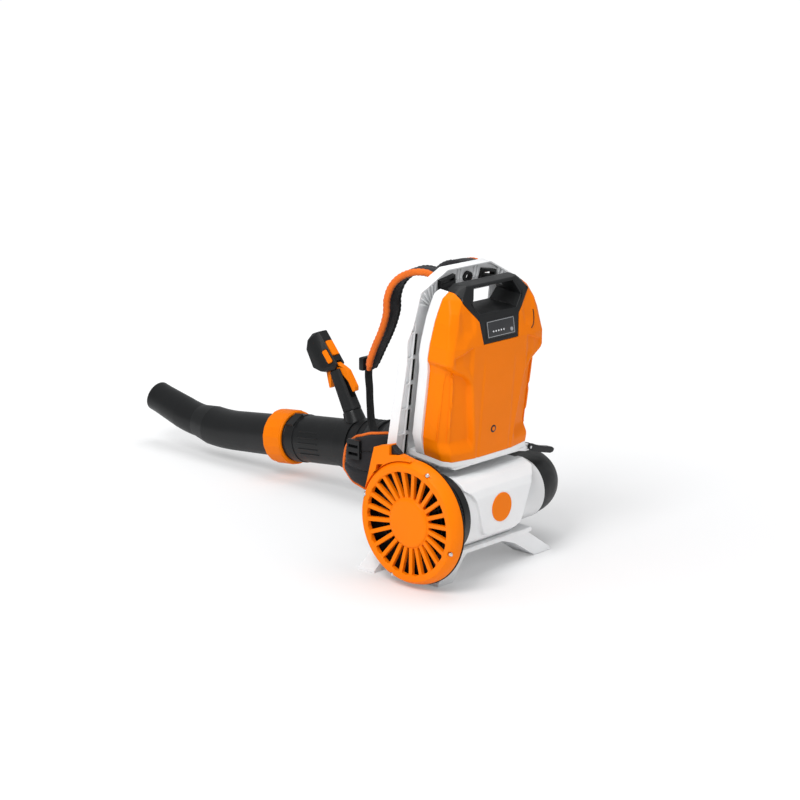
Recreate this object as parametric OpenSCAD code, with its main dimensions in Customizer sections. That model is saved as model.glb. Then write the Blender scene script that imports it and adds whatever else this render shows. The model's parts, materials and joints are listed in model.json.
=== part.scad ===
// Backpack leaf blower: a leaning battery on a ribbed backplate, an axial fan
// across the bottom with its intake disc on the left, and a blow tube that
// leaves an elbow on the right and runs forward beside the wearer.
// +X is the wearer's right, +Y the way the wearer faces, +Z up.
// The origin is on the ground, straight below the middle of the fan shaft.

/* [Carrier] */
// Lean of the battery and backplate, top towards the rear, in degrees
lean = 7; // [4:0.5:10]
// Height of the backplate's top edge, measured along the lean
plate_top = 616; // [600:1:640]
// Half width of the backplate at its widest
plate_half = 174; // [172:1:184]
// Depth of the backplate's rim
rim_depth = 23; // [21:1:28]
// Wall of the backplate's rim and floor
plate_wall = 3.5; // [2.5:0.5:5]
// Distance between the cross ribs of the side channels
rib_pitch = 53; // [40:1:70]
// Outer half width over the four feet
foot_half = 184; // [176:1:200]
// Rear edge of the rear feet, behind the fan shaft
foot_rear = 54; // [48:1:60]
// Front edge of the front feet, ahead of the fan shaft
foot_front = 156; // [150:1:170]
// Height of the deck under the fan housing
deck_z = 58; // [54:1:60]

/* [Battery] */
// Half width of the battery at its shoulders
battery_half = 148; // [142:1:149]
// Depth of the orange cover
cover_depth = 64; // [58:1:70]
// Depth of the white front shell
shell_depth = 30; // [24:1:31]
// Lower end of the battery, measured along the lean
battery_foot = 250; // [248:1:253]
// Width of the hand opening in the battery's handle
hand_w = 150; // [130:1:160]
// Height of the hand opening
hand_h = 50; // [40:1:54]
// Wall of the battery's shells
battery_wall = 3.5; // [2.5:0.5:4.5]

/* [Fan] */
// Height of the fan shaft above the ground
fan_z = 134.5; // [132:0.5:138]
// Inner radius of the fan duct
duct_r = 80; // [76:1:82]
// Wall of the fan duct
duct_wall = 5; // [4:0.5:6]
// Gap between the fan's blade tips and the duct
tip_gap = 1.5; // [1:0.1:3]
// Number of fan blades
blades = 9; // [7:1:11]
// Number of stator vanes
vanes = 7; // [5:1:9]
// Radius of the fan shaft
shaft_r = 6; // [5:0.5:7]
// Running gap around the shaft in its bearings
shaft_gap = 0.02; // [0.01:0.01:0.06]

/* [Intake cover] */
// Outer radius of the orange intake cover
cover_r = 127.5; // [124:0.5:130]
// Distance from the blower's middle to the cover's face
cover_face = 213; // [208:1:222]
// Depth of the cover's skirt
skirt = 28; // [24:1:32]
// Outer radius of the slots
slot_r = 105; // [100:1:108]
// Radius of the plain hub
hub_r = 46; // [40:1:50]
// Depth by which the hub lies below the outer ring
dish = 9; // [5:1:14]
// Number of slots
slots = 24; // [18:1:30]
// Width of the spokes between the slots
spoke_w = 8.6; // [7:0.2:9.4]

/* [Blow tube] */
// Distance from the blower's middle plane to the tube's axis
tube_x = 219; // [214:1:226]
// Downward slope of the tube in degrees
tube_dip = 5.5; // [4:0.5:7]
// Outer radius of the elbow
elbow_r = 62; // [60:1:64]
// Outer radius of the main tube
tube_r = 55; // [53:0.5:56]
// Wall of the main tube and the nozzle
tube_wall = 3; // [2:0.5:4]
// Length of the main tube
tube_len = 300; // [290:1:310]
// Outer radius of the coupling ring
ring_r = 64; // [63:0.5:67]
// Width of the coupling ring
ring_w = 57; // [50:1:62]
// Outer radius of the nozzle at the ring
nozzle_r = 49.5; // [48:0.5:50]
// Outer radius of the nozzle's tip
tip_r = 37; // [34:0.5:40]
// Ribs on the air hose
hose_ribs = 30; // [20:1:36]

/* [Handle] */
// Forward lean of the control handle in degrees
grip_lean = 26; // [20:1:32]
// Distance of the handle's clamp from the end of the air hose
clamp_at = 30; // [28:1:60]
// Height of the underside of the handle's head above the tube
grip_len = 116; // [108:1:124]

/* [Harness] */
// Width of a shoulder strap
strap_w = 58; // [50:1:64]
// Thickness of a shoulder strap
strap_t = 15; // [12:1:18]
// Width of the webbing
web_w = 25; // [20:1:28]
// Thickness of the webbing
web_t = 2.4; // [1.5:0.1:3]

/* [Fits] */
// Gap between pieces that seat on each other
seat = 0.3; // [0.2:0.05:0.4]
// Gap of a sliding fit
slide_gap = 0.4; // [0.3:0.05:0.6]

/* [Hidden] */
$fn = 64;
eps = 0.01;

orange = [0.96, 0.42, 0.04];
white = [0.86, 0.87, 0.88];
grey = [0.62, 0.63, 0.65];
black = [0.09, 0.09, 0.10];
dark = [0.20, 0.20, 0.22];
steel = [0.70, 0.70, 0.72];

// Levels of the leaning parts, counted along their own forward direction
battery_rear = -8;
plate_rear = 95;
plate_front = plate_rear + rim_depth;
floor_rear = plate_rear + 6;
floor_front = floor_rear + plate_wall;
cover_front = battery_rear + cover_depth;
shell_front = cover_front + shell_depth;

// Fan line, counted outwards to the left from the blower's middle plane
deck_top = deck_z + 10;
sill_top = deck_top + 3;
skirt_back = cover_face - skirt;
frame_t = 3;
duct_left = skirt_back - frame_t;
duct_right = 113;
housing_left = -duct_right;
housing_right = 118;
duct_out = duct_r + duct_wall;
flow_r = 57;
outlet_r = 65;
outlet_wall = 5;
outlet_end = 147;
outlet_in = -57;
bend_r = 69;
bend_x = tube_x - bend_r;

// Start of the tube: the front end of the air hose
tube_y = 510;
tube_z = 119;
sleeve_r = tube_r - tube_wall - slide_gap;

// ---------------------------------------------------------------- helpers

function middle(ring) = [for (p = ring) 1] * ring / len(ring);

// True where the rings run clockwise seen along the way they are joined
function turned(rings) =
    let (c = middle(rings[0]), way = middle(rings[1]) - c, n = len(rings[0]),
        area = [for (i = [0:n - 1]) cross(rings[0][i] - c, rings[0][(i + 1) % n] - c)])
    [for (a = area) 1] * area * way < 0;

// Joins closed rings of points into one solid
module skin(rings) {
    n = len(rings[0]);
    m = len(rings);
    flip = turned(rings);
    points = [for (r = rings) each flip ? [for (i = [n - 1:-1:0]) r[i]] : r];
    sides = [
        for (i = [0:m - 2], j = [0:n - 1])
            let (a = i * n + j, b = i * n + (j + 1) % n, c = b + n, d = a + n)
            each [[a, c, b], [a, d, c]]
    ];
    foot = [for (j = [0:n - 1]) j];
    top = [for (j = [n - 1:-1:0]) (m - 1) * n + j];
    polyhedron(points, concat(sides, [foot, top]));
}

// Rounded rectangle of half sizes a and b with corner radius r
function pill(a, b, r, n = 3) = [
    for (q = [0:3], i = [0:n])
        let (t = 90 * (q + i / n), sx = (q == 0 || q == 3) ? 1 : -1, sy = q < 2 ? 1 : -1)
        [sx * (a - r) + r * cos(t), sy * (b - r) + r * sin(t)]
];

function unit(v) = v / norm(v);
function mirrored(half) = concat(half, [for (i = [len(half) - 1:-1:0]) if (half[i][0] > 0) [-half[i][0],
    half[i][1]]]);

// Ring of the outline around point p, where side and up are its two directions
function placed(outline, p, side, up) = [for (q = outline) p + q[0] * side + q[1] * up];

// Tangent of a route at its point i
function heading(route, i) =
    unit(route[min(i + 1, len(route) - 1)] - route[max(i - 1, 0)]);

// Strap along a route: flat across side, with the given outline at each point
module strap(route, outlines, side) {
    skin([
        for (i = [0:len(route) - 1])
            let (t = heading(route, i), up = unit(cross(side, t)), s = unit(cross(t, up)))
            placed(outlines[i], route[i], s, up)
    ]);
}

// Leaning frame of the battery and the backplate
module leaned() rotate([lean, 0, 0]) children();

// Flat outline in X and Z, from depth y0 to y1
module slab(y0, y1) translate([0, y1, 0]) rotate([90, 0, 0]) linear_extrude(y1 - y0) children();

// Fan frame: its +Z runs outwards to the left, its +X up
module on_fan() translate([0, 0, fan_z]) rotate([0, -90, 0]) children();

// Tube frame: its +Z runs forward along the tube, its +Y up
module on_tube(t = 0)
    translate([tube_x, tube_y, tube_z]) rotate([-tube_dip, 0, 0])
        translate([0, t, 0]) rotate([-90, 0, 0]) mirror([0, 1, 0]) children();

module box(low, high) translate(low) cube(high - low);

module both_sides() {
    children();
    mirror([1, 0, 0]) children();
}

// Ring around the local Z axis
module tube(r_out, r_in, z0, z1)
    translate([0, 0, z0]) difference() {
        cylinder(h = z1 - z0, r = r_out);
        translate([0, 0, -1]) cylinder(h = z1 - z0 + 2, r = r_in);
    }

// ---------------------------------------------------------------- carrier

leg_t = 8;

// Outline of a leg in X and Z: the given upper side, then the arch, foot_span long
function leg_outline(foot_in, foot_span, upper) = concat(
    upper,
    [for (p = [[0, 0], [0.32, 0.43], [0.55, 0.72], [0.81, 0.91], [1, 1]])
        [foot_in - foot_span * p[0], deck_z * p[1]]]
);
function leg_upper(out) = [[60, deck_top], [90, deck_top], [out - 4, leg_t], [out, leg_t - 3], [out, 0]];
foot_in = foot_half - 54;

module base_stand() color(white) {
    // deck
    translate([0, 0, deck_z]) linear_extrude(deck_top - deck_z)
        polygon([[-112, -60], [112, -60], [112, 112], [-112, 112]]);
    // rear legs: the right one sweeps out from the middle, the left one stands under the intake
    slab(-foot_rear, 4) polygon(leg_outline(foot_in, foot_in - 8, leg_upper(foot_half)));
    mirror([1, 0, 0]) slab(-foot_rear + 10, 4)
        polygon(leg_outline(foot_in - 10, 60, [
            [50, deck_top], [111, deck_top], [112, 44], [foot_half - 20, leg_t], [foot_half - 20, 0]
        ]));
    // front legs
    both_sides() slab(foot_front - 44, foot_front) polygon(leg_outline(foot_in, foot_in - 8,
        leg_upper(foot_half)));
    // front sill that the backplate is bolted to
    box([-112, 86, deck_z], [112, foot_front, sill_top]);
}

// Half outline of the backplate, drawn in by t
function plate_half_outline(t = 0) = [
    [0, plate_top - t],
    [66 - 0.4 * t, plate_top - t],
    [plate_half - 32 - 0.9 * t, plate_top - 37 - 0.5 * t],
    [plate_half - 19 - t, plate_top - 101 - 0.2 * t],
    [plate_half - 6 - t, plate_top - 134],
    [plate_half - 10 - t, plate_top - 180],
    [plate_half - t, 262],
    [plate_half - t, 214 + t],
    [120, 204 + t],
    [0, 204 + t]
];
module plate_outline(t = 0) polygon(mirrored(plate_half_outline(t)));

rib_t = 2.5;
channel_in = battery_half - 1;
ribs_from = 232;
skirt_half = 112;
anchor_x = 62;
anchor_z = 584;
anchor_w = 46;
anchor_h = 32;
anchor_turn = 10;
view_z = battery_foot + 296;

module plate_floor() {
    slab(floor_rear, floor_front) difference() {
        plate_outline(plate_wall / 2);
        // windows beside the battery, one between each pair of ribs
        for (s = [-1, 1], z = [ribs_from:rib_pitch:plate_top - 140])
            translate([s * (channel_in - 9), z + rib_pitch / 2]) square([16, rib_pitch - 8], center = true);
        // window behind the battery's hand opening
        translate([0, view_z]) square([160, 28], center = true);
        // windows that hold the straps' anchors, and the hole of the carrying loop
        for (s = [0, 1])
            mirror([s, 0]) translate([anchor_x, anchor_z]) rotate(-anchor_turn)
                square([anchor_w + 2 * seat, anchor_h + 2 * seat], center = true);
        translate([0, 592]) circle(r = 11 + seat);
    }
}

module plate_ribs() {
    // ladder ribs of the side channels
    for (s = [-1, 1], z = [ribs_from:rib_pitch:plate_top - 80]) {
        box([s < 0 ? -plate_half : channel_in, plate_rear + 0.5, z],
            [s < 0 ? -channel_in : plate_half, floor_rear + 1, z + rib_t]);
    }
    // long ribs that close the channels towards the battery
    for (s = [-1, 1])
        box([s * channel_in - rib_t / 2, plate_rear + 0.5, 216],
            [s * channel_in + rib_t / 2, floor_rear + 1, 520]);
    // fans of ribs in the top corners
    for (s = [-1, 1], a = [20:14:90])
        translate([s * 96, 0, 540]) mirror([s < 0 ? 1 : 0, 0, 0]) rotate([0, -a, 0])
            box([16, plate_rear + 1, -rib_t / 2], [60, floor_rear + 1, rib_t / 2]);
    // short ribs along the top
    for (x = [-30, -20, 20, 30])
        box([x - 1, plate_rear + 2, 588], [x + 1, floor_rear + 1, plate_top - 2]);
    // cross ribs behind the battery
    for (z = [300, 380, 460, view_z - 26])
        box([-80, plate_rear, z], [80, floor_rear + 1, z + rib_t]);
}

module backplate() color(white) leaned() {
    // rim
    slab(plate_rear, plate_front) difference() {
        plate_outline(0);
        plate_outline(plate_wall);
    }
    plate_floor();
    intersection() {
        plate_ribs();
        slab(plate_rear, plate_front) plate_outline(1);
    }
    // skirt that runs down to the base in front of the fan housing
    difference() {
        slab(floor_rear, floor_front + 8) polygon(mirrored([
            [0, 236], [skirt_half + 16, 236], [skirt_half, 190], [skirt_half, 40], [0, 40]
        ]));
        // level foot that stands on the sill
        rotate([-lean, 0, 0]) box([-200, 0, 0], [200, 200, sill_top + seat]);
    }
}

ledge_top = battery_foot - seat;
ledge_t = 15;
rail_x = 92;

module battery_cradle() color(white) leaned() {
    // ledge that the battery stands on
    skin([for (z = [ledge_top - ledge_t, ledge_top - ledge_t + 5, ledge_top])
        [for (p = battery_ring(battery_levels[0], floor_rear - seat, z < ledge_top - ledge_t
            + 2 ? 3 : 0)) [p[0], p[1], z]]]);
    // stepped feet under the ledge
    for (s = [-1, 1])
        slab(battery_rear, 60) polygon([[s * 52, ledge_top - ledge_t + 1], [s * 58, ledge_top - ledge_t - 3],
            [s * 106, ledge_top - ledge_t - 3], [s * 114, ledge_top - ledge_t + 1]]);
    // guide rails for the battery
    for (s = [-1, 1])
        box([s * rail_x - 6, shell_front - 7, ledge_top - 4],
            [s * rail_x + 6, plate_rear - seat, battery_foot + 270]);
    // lug of the lever, between its two cheeks
    rotate([-lean, 0, 0]) slab(lug_y - lug_t / 2, lug_y + lug_t / 2) translate(lever_pin) difference() {
        polygon([[-40, -1], [-40, 13], [-18, 13], [-3, 8], [6, 3], [5, -4], [-1, -7], [-12, -7]]);
        circle(r = 3 + pin_gap);
    }
}

module cradle_terminal() color(black) leaned() {
    box([-34, 42, ledge_top + seat], [34, 74, ledge_top + 4]);
    for (x = [-24:12:24])
        box([x - 1.5, 50, ledge_top + 3.9], [x + 1.5, 68, ledge_top + 9]);
}

// ---------------------------------------------------------------- housing

// Sections in Y and Z of the fan housing and of the shield that stands out at its rear
housing_section = [
    [-44, deck_top + seat], [-58, 80], [-65, 100], [-66, 116], [-66, 152], [-60, 182], [-48, 199], [-30, 210],
    [0, 212], [60, 205], [69, 198], [69, deck_top + seat]
];
shield_y = -74;
shield_section = [
    [-50, 78], [-68, 84], [-73, 94], [shield_y, 104], [shield_y, 170], [-69, 186], [-56, 203], [-34, 213],
    [-20, 213], [-20, 78]
];
housing_mid = [0, deck_top + seat];
function housing_ring(x, s) = [
    for (p = housing_section) [x, housing_mid[0] + (p[0] - housing_mid[0]) * s, housing_mid[1]
        + (p[1] - housing_mid[1]) * s]
];

module housing_body() intersection() {
    skin([for (i = [[housing_left, 0.96], [housing_left + 5, 1], [housing_right, 1]]) housing_ring(i[0],
        i[1])]);
    // slanted right end
    slab(-200, 200) polygon([[-200, 0], [60, 0], [60, 94], [84, 157], [95, 182], [110, 200], [112, 400],
        [-200, 400]]);
}

// Shield around the badge: narrow at the foot and as wide as the housing at the top
module shield() intersection() {
    slab(-100, 0) polygon([
        [-50, 88], [46, 82], [61, 94], [87, 157], [98, 182], [112, 198], [114, 250], [-110, 250], [-110, 192],
        [-102, 186], [-90, 178], [-82, 166], [-74, 147], [-60, 97]
    ]);
    skin([for (x = [-150, 150]) [for (p = shield_section) [x, p[0], p[1]]]]);
}

module housing_hollow() {
    // room for the control board
    box([-64, 26, 195], [64, 60, 202]);
    on_fan() {
        cylinder(h = 2 * (duct_right - 3), r = flow_r + 6, center = true);
        translate([0, 0, -housing_right - 1]) cylinder(h = housing_right + 1 + outlet_in + seat,
            r = outlet_r + seat);
        translate([0, 0, duct_right - 14]) cylinder(h = 20, r = flow_r + 5);
    }
}

module housing_rear() color(white) difference() {
    union() {
        intersection() {
            housing_body();
            box([-200, -200, 0], [200, 0, 400]);
        }
        shield();
    }
    housing_hollow();
    slab(shield_y - 1, shield_y + 1.4) translate([badge_x, fan_z + 4.5]) circle(r = badge_r + seat);
}

module housing_front() color(white) difference() {
    intersection() {
        housing_body();
        box([-200, 0, 0], [200, 200, 400]);
    }
    housing_hollow();
}

badge_r = 30;
badge_x = -4;
module housing_badge() color(orange)
    slab(shield_y - 1.2, shield_y + 1.4 - seat) translate([badge_x, fan_z + 4.5]) circle(r = badge_r);

// ---------------------------------------------------------------- fan line

core_r = 40;
motor_r = 36;
motor_from = 22;
motor_to = 96;

module flow_duct() color(dark) on_fan() tube(flow_r + 4.7, flow_r, outlet_in + seat, duct_right - 15);

module stator_vanes() color(dark) on_fan() {
    tube(core_r, motor_r + seat, 30, 94);
    for (i = [0:vanes - 1])
        rotate(i * 360 / vanes) translate([core_r - 1, -1.5, 34]) cube([flow_r - core_r + 0.7, 3, 50]);
}

module motor_can() color(steel) on_fan() difference() {
    union() {
        translate([0, 0, motor_from]) cylinder(h = motor_to - motor_from, r = motor_r);
        translate([0, 0, motor_to - eps]) cylinder(h = 6, r = 18);
    }
    translate([0, 0, motor_from - 1]) cylinder(h = 100, r = shaft_r + 1.5);
    translate([0, 0, motor_to - 2]) cylinder(h = 10, r = 11);
    translate([0, 0, motor_from - 1]) cylinder(h = 9, r = 11);
}

module motor_bearings() color(steel) on_fan() {
    tube(11, shaft_r + shaft_gap, motor_to - 2, motor_to + 6);
    tube(11, shaft_r + shaft_gap, motor_from, motor_from + 8);
}

module motor_shaft() color(steel) on_fan()
    translate([0, 0, motor_from + 1]) cylinder(h = fan_from + 30 - motor_from, r = shaft_r);

module tail_cone() color(dark) on_fan()
    rotate_extrude() polygon([
        [0, -60], [8, -58], [26, -20], [core_r - 2, 14], [core_r, 29], [core_r - 3, 29],
            [core_r - 3, motor_from - seat], [0, motor_from - seat]
    ]);

fan_from = 124;
fan_to = 160;

// Blade section at radius r: a thin slanted plate, steeper near the hub
function blade_ring(r, chord, tilt) = [
    for (p = [[-1, -0.5], [-0.3, -1.2], [0.5, -1], [1, -0.2], [0.4, 0.6], [-0.4, 0.7]])
        let (u = p[0] * chord / 2, v = p[1] * 2)
        [r, u * sin(tilt) - v * cos(tilt), (fan_from + fan_to) / 2 + u * cos(tilt) + v * sin(tilt)]
];

module fan_rotor() color(black) on_fan() difference() {
    union() {
        rotate_extrude() polygon([
            [0, fan_from], [30, fan_from], [32, fan_to - 14], [26, fan_to - 2], [14, fan_to + 4],
                [0, fan_to + 5]
        ]);
        for (i = [0:blades - 1])
            rotate(i * 360 / blades) skin([
                blade_ring(28, 30, 38), blade_ring(46, 34, 50), blade_ring(64, 36, 58),
                blade_ring(duct_r - tip_gap - 2, 36, 64)
            ]);
    }
    translate([0, 0, fan_from - 1]) cylinder(h = 33, r = shaft_r + shaft_gap);
}

module control_board() color([0.1, 0.35, 0.2])
    box([-60, 30, 195 + seat], [60, 56, 198]);

// ---------------------------------------------------------------- intake

duct_ribs = 72;
module intake_duct() color(black) on_fan() difference() {
    union() {
        translate([0, 0, duct_right + seat]) cylinder(h = duct_left - duct_right - seat, r = duct_out);
        // fine ribs around the duct
        for (i = [0:duct_ribs - 1])
            rotate(i * 360 / duct_ribs)
                translate([duct_out - 1, -1.1, duct_right + 22])
                    cube([3.2, 2.2, duct_left - duct_right - 22]);
        translate([0, 0, duct_right + seat]) cylinder(h = 20, r1 = duct_out, r2 = duct_out + 2.4);
    }
    translate([0, 0, duct_right + 8]) cylinder(h = 100, r = duct_r);
    translate([0, 0, duct_right - 1]) cylinder(h = 40, r = flow_r);
}

module intake_frame() color(black) on_fan()
    tube(cover_r + 1.5, duct_r, duct_left + seat, skirt_back - seat);

module intake_screen() color(black) on_fan() {
    for (r = [84:-10:54])
        tube(r, r - 1.6, skirt_back, skirt_back + 3);
    for (i = [0:11])
        rotate(i * 30) translate([50, -1, skirt_back]) cube([cover_r - 54, 2, 3]);
}

// Angle of the first spoke
spoke_at = 5.75;

// Slot between two spokes of equal width
module slot_2d() {
    h = 180 / slots;
    function at(t, s) = [t * cos(h) + spoke_w / 2 * sin(h), s * (t * sin(h) - spoke_w / 2 * cos(h))];
    r0 = hub_r + 6;
    polygon([at(r0, -1), at(slot_r - 1, -1), [slot_r + 0.6, 0], at(slot_r - 1, 1), at(r0, 1)]);
}

// Ear that ties the cover to the backplate, in the fan frame's X up and Y forward
ear = [[30, 121], [113, 98], [141, 90], [152, 49], [131, 49], [134, 26], [127, -6], [90, -10]];

module intake_cover() color(orange) on_fan() {
    difference() {
        union() {
            // skirt, outer ring and dished middle in one turned form
            rotate_extrude($fn = 96) polygon([
                [cover_r, skirt_back], [cover_r, skirt_back + 8], [cover_r - 3.5, cover_face - 9],
                [cover_r - 9.5, cover_face], [slot_r + 1, cover_face], [slot_r, cover_face - 2],
                [hub_r + 4, cover_face - dish], [hub_r + 3, cover_face - dish + 2.5],
                [hub_r - 3, cover_face - dish + 4], [0, cover_face - dish + 4.5],
                [0, cover_face - dish - 3], [hub_r, cover_face - dish - 5],
                [hub_r + 6, cover_face - dish - 9], [slot_r + 2, cover_face - 11],
                [slot_r + 4, cover_face - 4], [boss_in, cover_face - 4],
                [boss_in, cover_face - 13], [cover_r - 5, cover_face - 14], [cover_r - 3.5, skirt_back + 8],
                [cover_r - 3.5, skirt_back]
            ]);
            difference() {
                translate([0, 0, skirt_back]) linear_extrude(skirt - 5) polygon(ear);
                translate([0, 0, skirt_back - 1]) cylinder(h = skirt + 2, r = cover_r - 2);
            }
        }
        for (i = [0:slots - 1])
            rotate(spoke_at + (i + 0.5) * 360 / slots)
                translate([0, 0, cover_face - dish - 20]) linear_extrude(dish + 30) slot_2d();
        // triangular opening between ring and ear
        translate([0, 0, skirt_back - 1]) linear_extrude(skirt + 2)
            polygon([[92, 86], [106, 83], [109, 68]]);
        for (a = screw_angles)
            rotate(a) translate([screw_ring, 0, skirt_back - 1]) {
                cylinder(h = skirt + 2, r = 2.4);
                translate([0, 0, skirt - screw_deep + 1]) cylinder(h = 20, r = 5.3);
            }
    }
}

screw_angles = [-26, -109, 161, 71];
screw_ring = cover_r - 7;
screw_deep = 6;
// Inner radius of the thick ring that takes the screws
boss_in = screw_ring - 6.8;

module cover_screws() color(steel) on_fan()
    for (a = screw_angles)
        rotate(a) translate([screw_ring, 0, 0]) {
            translate([0, 0, cover_face - screw_deep + seat]) cylinder(h = 3, r1 = 4.8, r2 = 3.3);
            translate([0, 0, skirt_back + seat]) cylinder(h = skirt - screw_deep, r = 1.9);
        }

module ear_insert() color(dark) on_fan()
    translate([0, 0, skirt_back + 2]) linear_extrude(14)
        polygon([[131.6, 48.5], [150, 48.5], [134.6, 28]]);

// ---------------------------------------------------------------- outlet and elbow

module outlet_duct() color(white) on_fan()
    tube(outlet_r, outlet_r - outlet_wall, -outlet_end, outlet_in);

module elbow() color(black) {
    difference() {
        union() {
            // flange against the outlet duct, with a spigot inside it
            on_fan() translate([0, 0, -bend_x - 2]) cylinder(h = bend_x + 2 - outlet_end - seat,
                r = elbow_r + 2.5);
            on_fan() translate([0, 0, -bend_x - 2]) cylinder(h = bend_x + 22 - outlet_end,
                r = outlet_r - outlet_wall - seat);
            translate([bend_x, bend_r, fan_z]) rotate([0, 0, -90])
                rotate_extrude(angle = 90) translate([bend_r, 0]) circle(r = elbow_r);
            translate([tube_x, bend_r, fan_z]) rotate([-90, 0, 0]) cylinder(h = 34, r = hose_bore - seat);
        }
        translate([bend_x, bend_r, fan_z]) rotate([0, 0, -90])
            rotate_extrude(angle = 90) translate([bend_r, 0]) circle(r = elbow_r - 8);
        translate([tube_x, bend_r - eps, fan_z]) rotate([-90, 0, 0]) cylinder(h = 40, r = elbow_r - 8);
        on_fan() translate([0, 0, -bend_x - eps]) cylinder(h = 40, r = elbow_r - 8);
    }
}

// ---------------------------------------------------------------- hose and tube

hose_bore = tube_r + 0.2;
cuff = 34;
hose_from = [tube_x, bend_r + 2, fan_z];
axis = [0, cos(tube_dip), -sin(tube_dip)];
hose_to = [tube_x, tube_y, tube_z];
hose_run = 110;
bend_from = hose_from + [0, hose_run, 0];
bend_to = hose_to - hose_run * axis;
bend_len = norm(bend_to - bend_from);

// Point and direction of the hose's middle line, with t from 0 to 1 between its straight ends
function hose_bend(t) =
    (2 * t ^ 3 - 3 * t ^ 2 + 1) * bend_from + (t ^ 3 - 2 * t ^ 2 + t) * bend_len * [0, 1, 0]
    + (3 * t ^ 2 - 2 * t ^ 3) * bend_to + (t ^ 3 - t ^ 2) * bend_len * axis;
function hose_point(s) =
    s < hose_run ? hose_from + [0, s, 0]
    : s > hose_run + bend_len ? hose_to - (2 * hose_run + bend_len - s) * axis
    : hose_bend((s - hose_run) / bend_len);
hose_len = 2 * hose_run + bend_len;
function hose_ring(s, r) =
    let (t = unit(hose_point(s + 0.5) - hose_point(s - 0.5)), up = cross([1, 0, 0], t))
    [for (k = [0:7]) hose_point(s) + r * cos(22.5 + 45 * k) * [1, 0, 0] + r * sin(22.5 + 45 * k) * up];

module air_hose() color(black) {
    first = cuff - 2;
    pitch = (hose_len - 2 * first) / hose_ribs;
    crest = 61;
    valley = 57;
    difference() {
        union() {
            skin(concat(
                [hose_ring(first, valley)],
                [for (i = [0:hose_ribs - 1], k = [0, 1])
                    hose_ring(first + (i + (k == 0 ? 0.35 : 0.65)) * pitch, crest)],
                [for (i = [hose_ribs:hose_ribs]) hose_ring(first + i * pitch, valley)]
            ));
            translate(hose_from) rotate([-90, 0, 0]) cylinder(h = cuff, r = hose_bore + 4);
            translate(hose_to) rotate([90 - tube_dip, 0, 0]) cylinder(h = cuff, r = hose_bore + 4);
        }
        skin([for (s = [-1, hose_run / 2, hose_run, hose_run + bend_len / 4, hose_run + bend_len / 2,
            hose_run + 3 * bend_len / 4, hose_run + bend_len, hose_len - hose_run / 2, hose_len + 1])
            hose_ring(s, hose_bore - 2)]);
        translate(hose_from - [0, 1, 0]) rotate([-90, 0, 0]) cylinder(h = cuff + 1, r = hose_bore);
        translate(hose_to + axis) rotate([90 - tube_dip, 0, 0]) cylinder(h = cuff + 1, r = hose_bore);
    }
}

module elbow_clamp() color(steel)
    translate([tube_x, bend_r + 10, fan_z]) rotate([-90, 0, 0]) {
        tube(hose_bore + 4 + seat + 1.2, hose_bore + 4 + seat, 0, 12);
        translate([hose_bore + 4 + seat, -7, 1]) cube([9, 14, 10]);
    }

module tube_clamp() color(black) on_tube(-21) {
    tube(hose_bore + 4 + seat + 2.4, hose_bore + 4 + seat, 0, 18);
    translate([-7, -hose_bore - 14 - seat, 2]) cube([14, 9, 14]);
}

ring_from = 217;
ring_to = ring_from + ring_w;

module main_tube() color(black) on_tube() {
    difference() {
        union() {
            translate([0, 0, -cuff + seat]) cylinder(h = tube_len - cuff - seat, r = tube_r - 0.1);
            translate([0, 0, 3]) cylinder(h = 5, r = tube_r + 1.5);
            translate([0, 0, ring_from - 34]) cylinder(h = 26, r = tube_r + 1.6);
            // long ribs on the side
            for (a = [150:14:206])
                rotate(a) translate([tube_r - 2, -1.2, 104]) cube([4, 2.4, 60]);
            // ramp of the coupling
            rotate(120) translate([tube_r - 12, -20, ring_from - 33]) cube([16, 40, 24]);
        }
        translate([0, 0, -cuff - 1]) cylinder(h = tube_len + 10, r = tube_r - tube_wall);
        translate([0, 0, ring_from - 7]) difference() {
            cylinder(h = 3, r = tube_r + 10);
            translate([0, 0, -1]) cylinder(h = 5, r = tube_r - 1);
        }
    }
}

grip_facets = 18;
module coupling_ring() color(orange) on_tube() difference() {
    union() {
        translate([0, 0, ring_from + 3]) linear_extrude(ring_w - 6)
            polygon([for (i = [0:grip_facets - 1], k = [-1.4, 1.4])
                let (a = (i + 0.5) * 360 / grip_facets + k) [ring_r * cos(a), ring_r * sin(a)]]);
        translate([0, 0, ring_from]) cylinder(h = 3, r1 = ring_r - 4, r2 = ring_r - 1.5);
        translate([0, 0, ring_to - 3]) cylinder(h = 3, r1 = ring_r - 1.5, r2 = ring_r - 4);
    }
    translate([0, 0, ring_from - 1]) cylinder(h = ring_w - 4, r = tube_r + slide_gap);
    translate([0, 0, ring_to - 6]) cylinder(h = 8, r = sleeve_r + 0.6);
}

// The nozzle: a sleeve inside the main tube, a straight run, then two upward
// bends with a cone between them and a tapered tip
bend_at = 420;
bend_1 = [480, 10];
bend_2 = [340, 10.5];
mid_r = 47.5;
cone_len = 45;
thin_r = 40;
tip_len = 100;

// Upward bend of radius b[0] and angle b[1], then the children at its end
module bend(b, r) {
    translate([0, b[0], 0]) rotate([0, -90, 0]) rotate([0, 0, -90])
        rotate_extrude(angle = b[1], $fn = 200) translate([b[0], 0]) circle(r = r, $fn = 64);
    translate([0, b[0], 0]) rotate([-b[1], 0, 0]) translate([0, -b[0], -lap]) children();
}
// Overlap and step where a cone meets a bend
lap = 0.5;
step = 0.1;

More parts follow.
